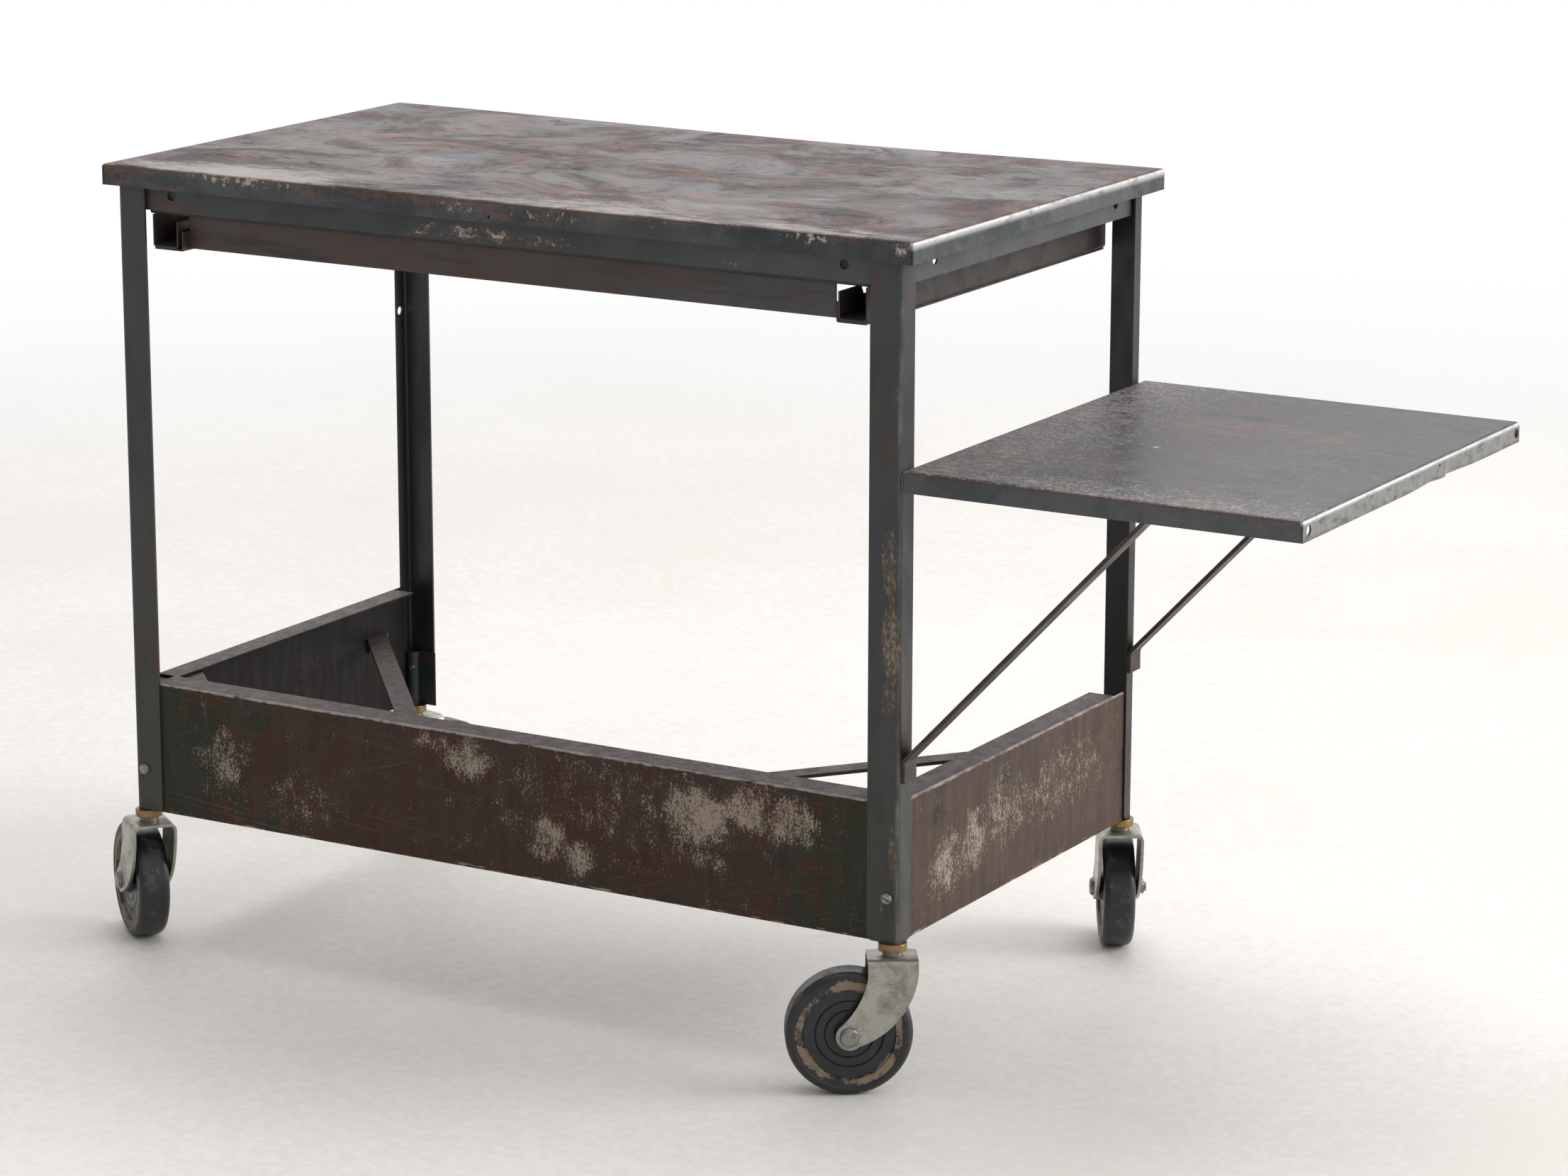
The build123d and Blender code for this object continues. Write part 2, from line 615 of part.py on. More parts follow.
def fork():
    """The caster's fork, folded from one plate, trailing towards +X from its swivel axis."""
    half_width = FORK_WIDTH / 2
    top = FOOT_Z - COLLAR_HEIGHT - RING_HEIGHT - FORK_GAP
    bottom = AXLE_Z - 2 * FORK_END_RADIUS
    outline = [(-half_width, bottom), (-half_width, top), (half_width, top), (half_width, bottom)]
    section = folded(outline, FORK_SHEET, FORK_FOLD_RADIUS, Side.RIGHT)
    plate = along_x(section, 2 * FORK_LEADING_X, CASTER_TRAIL + 2 * FORK_END_RADIUS)
    plate = plate & along_y(fork_side(), -FORK_WIDTH, FORK_WIDTH)
    plate -= rod(STEM_RADIUS + RUNNING_CLEARANCE, (0, 0, top), "Z", 4 * FORK_SHEET)
    return plate - rod(AXLE_RADIUS, (CASTER_TRAIL, 0, AXLE_Z), "Y", 2 * FORK_WIDTH)


def axle_bolt_and_nut():
    """The axle bolt with its domed head, and the nut on its other end."""
    half_width = FORK_WIDTH / 2
    head = Cylinder(AXLE_HEAD_RADIUS, AXLE_HEAD_HEIGHT, align=(Align.CENTER, Align.CENTER, Align.MIN))
    head = fillet(head.edges().sort_by(Axis.Z)[-1], AXLE_HEAD_HEIGHT - HEAD_EDGE)
    shank_end = -half_width - AXLE_NUT_HEIGHT - AXLE_END
    shank = along_z(Circle(AXLE_RADIUS), shank_end, half_width)
    shank = chamfer(shank.edges().sort_by(Axis.Z)[0], AXLE_CHAMFER)
    bolt = Pos(0, 0, half_width) * head + shank
    nut_section = hexagon(AXLE_NUT_ACROSS_FLATS) - Circle(AXLE_RADIUS)
    nut = along_z(nut_section, -half_width - AXLE_NUT_HEIGHT, -half_width)
    place = Pos(CASTER_TRAIL, 0, AXLE_Z) * Rot(-90, 0, 0)
    return [place * bolt, place * nut]


def wheel():
    """A solid wheel turned from one blank: hub boss, grooved disc, side band and rounded tread."""
    half_profile = [
        (BUSH_RADIUS, WHEEL_HUB_HALF_WIDTH),
        (WHEEL_HUB_RADIUS, WHEEL_HUB_HALF_WIDTH),
        (WHEEL_DISC_START, WHEEL_DISC_HALF_WIDTH),
    ]
    for groove in WHEEL_GROOVES:
        half_profile += [
            (groove - WHEEL_GROOVE, WHEEL_DISC_HALF_WIDTH),
            (groove, WHEEL_DISC_HALF_WIDTH - WHEEL_GROOVE),
            (groove + WHEEL_GROOVE, WHEEL_DISC_HALF_WIDTH),
        ]
    half_profile += [
        (WHEEL_BAND_START - 1, WHEEL_DISC_HALF_WIDTH),
        (WHEEL_BAND_START, WHEEL_BAND_HALF_WIDTH),
        (WHEEL_BAND_END, WHEEL_BAND_HALF_WIDTH),
        (WHEEL_BAND_END + 1, WHEEL_HALF_WIDTH),
        (WHEEL_RADIUS, WHEEL_HALF_WIDTH),
    ]
    profile = half_profile + [(radius, -width) for radius, width in reversed(half_profile)]
    section = Polygon(*profile, align=None)
    tread_corners = section.vertices().group_by(Axis.X)[-1]
    section = fillet(tread_corners, TREAD_EDGE_RADIUS)
    solid = revolve(Plane.XY * section, Axis.Y)
    return Pos(CASTER_TRAIL, 0, AXLE_Z) * solid


def wheel_bush():
    """The steel bush pressed into the wheel, which turns on the axle bolt."""
    bore_radius = AXLE_RADIUS + RUNNING_CLEARANCE
    sleeve = tube(BUSH_RADIUS, bore_radius, -BUSH_HALF_LENGTH, BUSH_HALF_LENGTH)
    return Pos(CASTER_TRAIL, 0, AXLE_Z) * Rot(90, 0, 0) * sleeve


def caster(name):
    """All the pieces of one caster, turned to its rest direction and set under its leg."""
    side_x, side_y, azimuth = CASTERS[name]
    place = Pos(side_x * PIVOT_X, side_y * PIVOT_Y, 0) * Rot(0, 0, azimuth)
    return {
        f"stem_{name}": place * stem(),
        f"collar_{name}": place * collar(),
        f"thrust_ring_{name}": place * thrust_ring(),
        f"fork_{name}": place * fork(),
        f"axle_bolt_{name}": Compound([place * piece for piece in axle_bolt_and_nut()]),
        f"wheel_{name}": place * wheel(),
        f"wheel_bush_{name}": place * wheel_bush(),
    }


def frame_parts():
    """Every piece above the casters, by name."""
    parts = {
        "table_top": table_top(),
        "apron_front": long_apron(-1),
        "apron_rear": long_apron(1),
        "apron_left": side_apron(-1),
        "apron_right": side_apron(1),
        "hanger_rail_front": hanger_rail(-1),
        "hanger_rail_rear": hanger_rail(1),
        "drawer_runner_left": drawer_runner(-1),
        "drawer_runner_right": drawer_runner(1),
        "runner_strip_left": runner_strip(-1, LEFT_STRIP_LIP_X),
        "runner_strip_right": runner_strip(1, RIGHT_STRIP_LIP_X),
        "cross_strip": cross_strip(),
        "skirt_front": skirt_front(),
        "skirt_left": skirt_side(-1),
        "skirt_right": skirt_side(1),
        "corner_gussets": Compound(corner_gussets()),
        "strap_left": diagonal_strap("left"),
        "strap_right": diagonal_strap("right"),
        "socket_screws": Compound(socket_screws()),
        "side_leaf": side_leaf(),
        "leaf_brace_front": leaf_brace(FRONT_BRACE_Y),
        "leaf_brace_rear": leaf_brace(REAR_BRACE_Y),
        "leaf_bolts": Compound(leaf_bolts()),
        "leaf_nuts": Compound(leaf_nuts()),
    }
    for name, (side_x, side_y, _) in CASTERS.items():
        parts[f"leg_{name}"] = leg(side_x, side_y)
        parts[f"caster_socket_{name}"] = caster_socket(side_x, side_y)
    return parts


def base_centre(parts):
    """The centre, in X and Y, of the box around the whole table."""
    boxes = [shape.bounding_box() for shape in parts.values()]
    low_x = min(box.min.X for box in boxes)
    high_x = max(box.max.X for box in boxes)
    low_y = min(box.min.Y for box in boxes)
    high_y = max(box.max.Y for box in boxes)
    return ((low_x + high_x) / 2, (low_y + high_y) / 2)


def main():
    """Make every piece, move the origin to the middle of the base and write the files."""
    parts = frame_parts()
    for name in CASTERS:
        parts.update(caster(name))
    centre_x, centre_y = base_centre(parts)
    os.makedirs("parts", exist_ok=True)
    for name, shape in parts.items():
        export_step(Pos(-centre_x, -centre_y, 0) * shape, f"parts/{name}.step")
    return centre_x, centre_y


BASE_CENTRE = main()
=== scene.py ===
import json
import math

import bmesh
import bpy
from mathutils import Matrix, Vector, noise


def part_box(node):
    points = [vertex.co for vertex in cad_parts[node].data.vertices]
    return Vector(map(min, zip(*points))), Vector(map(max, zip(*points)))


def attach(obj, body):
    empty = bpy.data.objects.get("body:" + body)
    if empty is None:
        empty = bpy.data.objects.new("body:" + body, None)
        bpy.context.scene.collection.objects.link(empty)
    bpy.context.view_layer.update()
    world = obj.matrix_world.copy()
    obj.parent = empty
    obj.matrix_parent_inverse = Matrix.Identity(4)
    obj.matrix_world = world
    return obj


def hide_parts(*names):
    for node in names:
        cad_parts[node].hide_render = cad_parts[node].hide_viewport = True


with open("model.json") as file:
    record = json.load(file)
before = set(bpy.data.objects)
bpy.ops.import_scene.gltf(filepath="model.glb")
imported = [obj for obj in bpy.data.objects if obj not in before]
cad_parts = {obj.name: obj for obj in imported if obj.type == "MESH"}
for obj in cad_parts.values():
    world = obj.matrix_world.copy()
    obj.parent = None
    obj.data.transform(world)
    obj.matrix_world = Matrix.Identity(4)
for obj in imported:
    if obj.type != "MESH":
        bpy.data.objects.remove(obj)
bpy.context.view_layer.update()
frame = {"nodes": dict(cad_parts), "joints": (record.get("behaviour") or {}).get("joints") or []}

MM = 0.001

# Paint, rust and metal colours, and the colours of painted light, painted highlights and painted shade,
# as linear red, green and blue
PETROL = (0.026, 0.031, 0.033)
BLUE_GREY = (0.046, 0.052, 0.056)
RIM_BROWN = (0.105, 0.066, 0.052)
# Painted light: a lighter grey for rim faces that look right, towards the key light
RIM_LIT_GREY = (0.190, 0.190, 0.175)
STRIP_BROWN = (0.050, 0.030, 0.023)
DEEP_PETROL = (0.010, 0.017, 0.020)
OLIVE = (0.028, 0.031, 0.021)
BROWN = (0.046, 0.029, 0.022)
DARK_BROWN = (0.024, 0.016, 0.013)
RUST = (0.085, 0.036, 0.022)
DUST = (0.115, 0.095, 0.088)
CREAM = (0.46, 0.41, 0.33)
# A painted highlight, laid along the bright folds of the top, the leaf and the front right leg
FOLD_HIGHLIGHT = (0.62, 0.61, 0.60)
# Near black: soot stains on the top, and painted shade on the skirts' inner faces and on the hanger
# rails; it also darkens the rear legs
NEAR_BLACK = (0.009, 0.009, 0.009)
RUBBER = (0.013, 0.0145, 0.017)
RUBBER_WEAR = (0.27, 0.195, 0.125)
ZINC = (0.40, 0.40, 0.35)
ZINC_DIRT = (0.13, 0.11, 0.08)
TOP_BROWN = (0.040, 0.027, 0.024)
TOP_BLUE = (0.007, 0.015, 0.022)
TOP_RUST = (0.150, 0.068, 0.048)
TOP_VEIL = (0.210, 0.185, 0.185)
TOP_WIPED = (0.340, 0.310, 0.295)
LEAF_DARK = (0.034, 0.029, 0.028)
SKIRT_BROWN = (0.044, 0.019, 0.009)
# Partly painted light: a lighter brown for the right skirt, which faces the key light
LIT_SIDE_BROWN = (0.088, 0.052, 0.032)
GREEN = (0.017, 0.024, 0.014)
SKIRT_RUB = (0.370, 0.305, 0.245)
SKIRT_HAZE = (0.150, 0.110, 0.085)
# Pale along the skirts' upper fold: partly chipped paint, partly a painted highlight
SKIRT_FOLD = (0.420, 0.385, 0.360)
SKIRT_DUST = (0.150, 0.125, 0.122)
LEG_STAIN = (0.070, 0.050, 0.030)
LEG_RUB = (0.260, 0.215, 0.150)
BRASS = (0.29, 0.185, 0.075)
BRASS_TARNISH = (0.075, 0.056, 0.030)
STEEL = (0.30, 0.29, 0.27)
STEEL_DIRT = (0.07, 0.055, 0.045)
METAL_RUST = (0.14, 0.065, 0.03)
RUBBER_HAZE = (0.032, 0.031, 0.030)
RUBBER_SCUFF = (0.10, 0.085, 0.07)
RUBBER_SPECK = (0.16, 0.13, 0.10)
FLOOR_DARK = (0.70, 0.67, 0.63)
FLOOR_LIGHT = (0.76, 0.73, 0.70)
WHITE = (1.0, 1.0, 1.0, 1.0)

# How far noise is shifted along X, Y and Z for each step of its seed, in metres
SEED_STEPS = (0.37, 0.61, 0.83)

# The level at which grit shows, how softly it sets in, and the range that noise fills
WORN_LEVEL = 0.65
WORN_SOFTNESS = 0.26
NOISE_RANGE = (0.35, 0.65)

# Directions in which faces look, and the cosines between which a face comes to count
UP = (0, 0, 1)
RIGHT = (1, 0, 0)
LEFT = (-1, 0, 0)
REARWARD = (0, 1, 0)
FACING_RANGE = (0.5, 0.9)

# The fine skin of the paint, and the depth of its chips and of the pits in metal, in mm
SKIN_GRAIN = 2.2
SKIN_DEPTH = 0.05
CHIP_DEPTH = 0.12
PIT_DEPTH = 0.06

# Knocks and sagging, and the cuts that let a sheet bend, in metres
TOP_SAG = 0.9 * MM
TOP_EDGE_SAG = 1.6 * MM
TOP_DENT = 0.9 * MM
LEAF_DENT = 0.8 * MM
LEAF_FOLD = 4.0 * MM
DENT_PLACE = 44.0 * MM
DENT_REACH = 75.0 * MM
DENT_FRONT_FLANK = 26.0 * MM
DENT_REAR_FLANK = 14.0 * MM
DENT_DEPTH = 3.6 * MM
BEND_STEP = 16.0 * MM
DENT_STEP = 2.5 * MM
RIM_STEP = 2.0 * MM
CUT_MARGIN = 4.0 * MM
WELD_DISTANCE = 1e-6

# Edges that turn by more than this many degrees stay sharp
SHARP_ANGLE = 32.0

# Worn places: the centre and radii in mm, and how strongly each shows
BLUE_PLACES = (
    ((-274, -38, 673), (95, 42, 40), 1.0),
    ((-35, 31, 673), (110, 50, 40), 0.9),
    ((124, -130, 673), (80, 34, 40), 0.9),
    ((-456, 38, 673), (60, 50, 40), 0.7),
    ((-150, 120, 673), (120, 40, 40), 0.7),
    ((60, -60, 673), (60, 30, 40), 0.7),
)
SOOTY_PLACES = (
    ((150, 93, 673), (90, 24, 40), 1.0),
    ((-20, 170, 673), (70, 20, 40), 0.8),
    ((-330, 170, 673), (110, 24, 40), 0.7),
    ((-200, -90, 673), (36, 10, 40), 0.8),
)
WIPED_PLACES = (
    ((-380, -200, 673), (150, 60, 40), 1.0),
    ((-40, -205, 673), (160, 50, 40), 0.8),
    ((150, -210, 673), (120, 30, 40), 0.6),
)
TOP_CHIPS = (
    ((-375, -223, 668), (110, 20, 10), 0.8),
    ((-165, -223, 665), (40, 20, 8), 0.8),
    ((-76, -223, 665), (60, 20, 9), 0.7),
    ((38, -223, 666), (50, 20, 7), 0.5),
    ((160, -223, 668), (42, 20, 8), 0.85),
    ((238, -223, 666), (16, 20, 10), 0.9),
    ((247, -200, 668), (10, 60, 9), 0.6),
    ((-514, -150, 668), (10, 60, 9), 0.6),
)
LEAF_STREAKS = (
    ((405, 58, 496), (150, 52, 40), 1.0),
    ((330, 10, 496), (90, 30, 40), 0.5),
)
LEAF_MARK = ((362, -39, 496), (4, 7, 12))
APRON_CHIPS = (
    ((-165, -216, 644), (110, 30, 12), 1.0),
    ((-90, -216, 643), (60, 30, 9), 0.9),
    ((90, -216, 641), (40, 30, 7), 0.6),
)
LEG_RUBS = (
    ((226, -218, 425), (16, 30, 60), 0.8),
    ((228, -218, 360), (14, 30, 60), 0.9),
    ((226, -218, 318), (12, 30, 30), 0.7),
    ((231, -218, 190), (7, 30, 50), 0.9),
    ((222, -218, 150), (14, 30, 26), 0.6),
    ((231, -218, 557), (8, 30, 22), 0.6),
    ((233, -218, 473), (8, 30, 50), 0.5),
    ((-489, -218, 150), (14, 30, 26), 0.5),
)
FRONT_RUBS = (
    ((54, -216, 198), (58, 30, 42), 1.15),
    ((100, -216, 209), (42, 30, 32), 1.0),
    ((138, -216, 204), (44, 30, 36), 0.95),
    ((62, -216, 163), (34, 30, 16), 0.65),
    ((-165, -216, 213), (38, 30, 28), 1.0),
    ((-195, -216, 223), (40, 30, 12), 0.7),
    ((-88, -216, 158), (30, 30, 34), 0.95),
    ((-60, -216, 146), (30, 30, 28), 0.95),
    ((-20, -216, 195), (240, 30, 70), 0.42),
    ((-410, -216, 175), (40, 30, 46), 0.7),
    ((-330, -216, 150), (60, 30, 40), 0.5),
)
SIDE_RUBS = (
    ((234, -135, 165), (40, 44, 40), 0.95),
    ((234, -90, 172), (40, 34, 44), 0.9),
    ((234, -40, 185), (40, 60, 50), 0.7),
    ((234, 60, 185), (40, 110, 50), 0.6),
    ((-500, 20, 180), (40, 110, 40), 0.5),
)

# The camera: its place in metres, its angles in degrees, its sensor and lens in mm
CAMERA_PLACE = (1.94486, -3.31290, 1.2672)
CAMERA_YAW = 30.340
CAMERA_PITCH = 13.699
CAMERA_ROLL = 0.092
SENSOR_WIDTH = 36.0
FOCAL_LENGTH = 109.95

# The studio: lengths in metres, lamp power in watts
FLOOR_RADIUS = 12.0
FLOOR_SEGMENTS = 96
FLOOR_FADE = (1.4, 3.6)
FLOOR_ROUGHNESS = 0.6
BRIGHT_SIDE = (0.55, 0.83, 0.10)
WORLD_TURN = (-0.5, 0.3)
WORLD_STRENGTH = (0.42, 1.05)
LAMP_TARGET = (0.0, 0.0, 0.4)
KEY_PLACE = (3.6, 1.7, 1.9)
KEY_SIZE = 2.0
KEY_POWER = 105.0
OVERHEAD_PLACE = (-0.3, 0.8, 3.6)
OVERHEAD_SIZE = 3.0
OVERHEAD_POWER = 60.0

# Wheel radii over which the worn band and the tread set in, and the band's wobble, in metres
BAND_INNER = (33.5 * MM, 37.0 * MM)
BAND_OUTER = (44.5 * MM, 41.0 * MM)
TREAD = (46.5 * MM, 49.0 * MM)
BAND_WOBBLE = 8.0 * MM

# The first wheel's noise seed
WHEEL_SEED = 131.0


class Graph:
    """The node tree of one material. Each call adds a node and returns its output."""

    def __init__(self, name):
        self.material = bpy.data.materials.new(name)
        self.material.use_nodes = True
        self.nodes = self.material.node_tree.nodes
        self.links = self.material.node_tree.links
        self.nodes.clear()
        self.place = self.nodes.new("ShaderNodeTexCoord").outputs["Object"]
        self.x, self.y, self.z = self.split(self.place)
        self.facing = self.nodes.new("ShaderNodeNewGeometry").outputs["Normal"]

    def put(self, socket, value):
        """Link an output to a socket, or set the socket's own value."""
        if isinstance(value, bpy.types.NodeSocket):
            self.links.new(value, socket)
        elif socket.type == "RGBA":
            socket.default_value = (*value, 1.0)
        else:
            socket.default_value = value

    def split(self, vector):
        node = self.nodes.new("ShaderNodeSeparateXYZ")
        self.put(node.inputs[0], vector)
        return node.outputs[0], node.outputs[1], node.outputs[2]

    def math(self, operation, first, second=0.0):
        node = self.nodes.new("ShaderNodeMath")
        node.operation = operation
        self.put(node.inputs[0], first)
        self.put(node.inputs[1], second)
        return node.outputs[0]

    def vector(self, operation, first, second=(0, 0, 0)):
        """Vector maths: a number from a length or a dot product, and else a vector."""
        node = self.nodes.new("ShaderNodeVectorMath")
        node.operation = operation
        self.put(node.inputs[0], first)
        self.put(node.inputs[1], second)
        return node.outputs["Value" if operation in ("LENGTH", "DOT_PRODUCT") else "Vector"]

    def both(self, *masks):
        """Masks multiplied together."""
        total = masks[0]
        for mask in masks[1:]:
            total = self.math("MULTIPLY", total, mask)
        return total

    def either(self, *masks):
        """The strongest of several masks."""
        total = masks[0]
        for mask in masks[1:]:
            total = self.math("MAXIMUM", total, mask)
        return total

    def fade(self, value, start, end, low=0.0, high=1.0):
        """A smooth change from low at start to high at end, where start may be above end."""
        node = self.nodes.new("ShaderNodeMapRange")
        node.interpolation_type = "SMOOTHSTEP"
        settings = (value, start, end, low, high)
        for index, setting in enumerate(settings):
            self.put(node.inputs[index], setting)
        return node.outputs[0]

    def noise(self, cell, turn=(0, 0, 0), seed=0.0, detail=4.0, roughness=0.55, warp=0.0):
        """Noise with cells of the given size in mm, along X, Y and Z turned by degrees."""
        size = cell if isinstance(cell, tuple) else (cell, cell, cell)
        mapping = self.nodes.new("ShaderNodeMapping")
        mapping.vector_type = "TEXTURE"
        mapping.inputs["Location"].default_value = [step * seed for step in SEED_STEPS]
        mapping.inputs["Rotation"].default_value = [math.radians(angle) for angle in turn]
        mapping.inputs["Scale"].default_value = [length * MM for length in size]
        self.put(mapping.inputs["Vector"], self.place)
        texture = self.nodes.new("ShaderNodeTexNoise")
        texture.inputs["Scale"].default_value = 1.0
        texture.inputs["Detail"].default_value = detail
        texture.inputs["Roughness"].default_value = roughness
        texture.inputs["Distortion"].default_value = warp
        self.put(texture.inputs["Vector"], mapping.outputs[0])
        return texture.outputs[0]

    def spot(self, centre, radii):
        """A soft blot: 1 at its centre, falling to 0 at its radii, all in mm."""
        mapping = self.nodes.new("ShaderNodeMapping")
        mapping.vector_type = "TEXTURE"
        mapping.inputs["Location"].default_value = [value * MM for value in centre]
        mapping.inputs["Scale"].default_value = [value * MM for value in radii]
        self.put(mapping.inputs["Vector"], self.place)
        return self.fade(self.vector("LENGTH", mapping.outputs[0]), 1.0, 0.2)

    def spots(self, *places):
        """Several soft blots, each given as a centre, radii and strength."""
        masks = [self.both(self.spot(centre, radii), strength) for centre, radii, strength in places]
        return self.either(*masks)

    def worn(self, amount, *grains, soft=WORN_SOFTNESS):
        """Grit that is sparse where amount is low and closes up where it is high."""
        total = amount
        for grain, weight in grains:
            shift = self.math("MULTIPLY", self.math("SUBTRACT", grain, 0.5), weight)
            total = self.math("ADD", total, shift)
        return self.fade(total, WORN_LEVEL - soft / 2, WORN_LEVEL + soft / 2)

    def raised(self, base, *shares):
        """A base amount, raised by a share of each mask."""
        total = base
        for mask, share in shares:
            total = self.math("ADD", total, self.both(mask, share))
        return total

    def uneven(self, grain, low, high):
        """A value that wanders between low and high with the grain."""
        return self.fade(grain, *NOISE_RANGE, low, high)

    def toward(self, direction):
        """1 on faces that look along a direction."""
        return self.fade(self.vector("DOT_PRODUCT", self.facing, direction), *FACING_RANGE)

    def mix(self, mask, under, over):
        """The under colour, with the over colour where the mask is 1."""
        node = self.nodes.new("ShaderNodeMix")
        node.data_type = "RGBA"
        self.put(node.inputs[0], mask)
        self.put(node.inputs[6], under)
        self.put(node.inputs[7], over)
        return node.outputs[2]

    def layers(self, base, *coats):
        """A base colour with (mask, colour) coats laid over it in turn."""
        colour = base
        for mask, coat in coats:
            colour = self.mix(mask, colour, coat)
        return colour

    def bump(self, height, depth, under=None):
        """A bump of the given depth in mm from a height between 0 and 1."""
        node = self.nodes.new("ShaderNodeBump")
        node.inputs["Strength"].default_value = 1.0
        node.inputs["Distance"].default_value = depth * MM
        self.put(node.inputs["Height"], height)
        if under is not None:
            self.put(node.inputs["Normal"], under)
        return node.outputs[0]

    def coat(self, colour, roughness, metallic=0.0, normal=None, specular=0.5):
        """The surface shader."""
        shader = self.nodes.new("ShaderNodeBsdfPrincipled")
        self.put(shader.inputs["Base Color"], colour)
        self.put(shader.inputs["Roughness"], roughness)
        self.put(shader.inputs["Metallic"], metallic)
        self.put(shader.inputs["Specular IOR Level"], specular)
        if normal is not None:
            self.put(shader.inputs["Normal"], normal)
        return shader.outputs[0]

    def close(self, shader):
        """Link a shader to the material's output."""
        output = self.nodes.new("ShaderNodeOutputMaterial")
        self.links.new(shader, output.inputs[0])
        return self.material

    def finish(self, *settings):
        """Coat the surface and close the material."""
        return self.close(self.coat(*settings))


def sheet_relief(graph, chips, ripple=0.0):
    """Brushed-on paint over sheet steel: a fine skin, broad ripples and chips that sink in."""
    skin = graph.bump(graph.noise(SKIN_GRAIN, detail=3.0, seed=11.0), SKIN_DEPTH)
    if ripple:
        skin = graph.bump(graph.noise((90, 60, 60), detail=1.0, seed=4.0), ripple, skin)
    return graph.bump(graph.math("SUBTRACT", 1.0, chips), CHIP_DEPTH, skin)


def top_surface(graph, low):
    """The top's upper face, rubbed through to brown and rust: its colour, and its masks by name."""
    broad = graph.noise((90, 70, 70), turn=(0, 0, 6), detail=9.0, roughness=0.66, warp=0.9, seed=1.0)
    swirls = graph.noise((50, 44, 44), turn=(0, 0, 10), detail=9.0, roughness=0.72, warp=1.2, seed=3.0)
    soot = graph.noise((30, 26, 26), turn=(0, 0, -5), detail=9.0, roughness=0.74, warp=0.8, seed=5.0)
    fine = graph.noise(2.0, detail=5.0, roughness=0.8, seed=7.0)
    medium = graph.noise((14, 10, 10), turn=(0, 0, 7), detail=7.0, roughness=0.74, seed=9.0)
    strokes = graph.noise((30, 7, 7), turn=(0, 0, 3), detail=7.0, roughness=0.72, seed=10.0)
    drifts = graph.noise((110, 50, 50), detail=6.0, warp=0.6, seed=12.0)
    grain = graph.noise((60, 0.8, 0.8), turn=(0, 0, -3), detail=3.0, roughness=0.6, seed=13.0)
    cross_grain = graph.noise((50, 0.8, 0.8), turn=(0, 0, 38), detail=2.0, roughness=0.6, seed=15.0)

    blue_amount = graph.raised(0.30, (graph.spots(*BLUE_PLACES), 0.42))
    sooty_amount = graph.raised(0.22, (graph.spots(*SOOTY_PLACES), 0.42))
    front = graph.fade(graph.y, low.y + 120 * MM, low.y + 4 * MM)
    wiped_amount = graph.raised(graph.both(front, 0.30), (graph.spots(*WIPED_PLACES), 0.62))
    blue = graph.worn(blue_amount, (broad, 3.4), (medium, 2.4), soft=0.5)
    rusty = graph.worn(0.46, (swirls, 3.6), (medium, 1.8), (fine, 1.2), soft=0.4)
    sooty = graph.worn(sooty_amount, (soot, 3.4), (medium, 1.6), soft=0.5)
    wiped = graph.worn(wiped_amount, (strokes, 2.4), (fine, 1.6), soft=0.5)
    veil = graph.worn(0.30, (drifts, 3.0), (medium, 1.6))
    scratches = graph.either(graph.fade(grain, 0.64, 0.72), graph.fade(cross_grain, 0.68, 0.75))
    specks = graph.fade(fine, 0.66, 0.74)
    colour = graph.layers(
        TOP_BROWN,
        (blue, TOP_BLUE),
        (graph.both(rusty, graph.fade(blue, 1.0, 0.0, 0.3, 0.9)), TOP_RUST),
        (graph.both(veil, 0.4), TOP_VEIL),
        (graph.both(sooty, 0.8), NEAR_BLACK),
        (graph.both(wiped, 0.8), TOP_WIPED),
        (graph.both(scratches, 0.35), TOP_WIPED),
        (graph.both(specks, 0.5), TOP_WIPED),
    )
    masks = {
        "blue": blue,
        "rusty": rusty,
        "sooty": sooty,
        "wiped": wiped,
        "specks": specks,
        "fine": fine,
        "medium": medium,
    }
    return colour, masks


def top_rim(graph, high, masks):
    """The top's rims, blue-grey under brown, with chips, a painted highlight along the right fold, and
    faces that look right painted lighter as painted light: their colour, chips and painted fold
    highlight.
    """
    fold = graph.fade(graph.z, high.z - 8 * MM, high.z - 1.5 * MM)
    chip_grain = graph.noise((5, 5, 6), detail=7.0, roughness=0.74, seed=23.0)
    stain_grain = graph.noise((60, 30, 9), detail=7.0, roughness=0.65, seed=21.0)
    drip_grain = graph.noise((6, 6, 12), detail=5.0, roughness=0.7, seed=22.0)
    highlight_grain = graph.noise((40, 22, 8), detail=7.0, roughness=0.7, seed=27.0)

    chip_amount = graph.raised(graph.both(fold, 0.10), (graph.spots(*TOP_CHIPS), 0.62))
    chips = graph.worn(chip_amount, (chip_grain, 2.6))
    brown_amount = graph.raised(graph.fade(graph.x, 0.25, -0.45, 0.30, 0.52), (fold, 0.42))
    brown = graph.worn(brown_amount, (stain_grain, 2.6), (drip_grain, 1.2))
    grey = graph.worn(0.5, (masks["medium"], 2.4), (masks["fine"], 1.2), soft=0.6)
    # Painted highlight: a broken pale line along the right fold
    right_fold = graph.both(graph.fade(graph.x, high.x - 4.5 * MM, high.x - 1 * MM), fold)
    bright = graph.both(right_fold, graph.worn(0.86, (highlight_grain, 1.8), soft=0.5))
    colour = graph.layers(
        BLUE_GREY,
        (graph.both(brown, 0.85), RIM_BROWN),
        # Painted light: faces that look right, towards the key light, painted a lighter grey
        (graph.both(graph.toward(RIGHT), grey, 0.2), RIM_LIT_GREY),
        (bright, FOLD_HIGHLIGHT),
        (graph.both(chips, 0.9), CREAM),
    )
    return colour, chips, bright


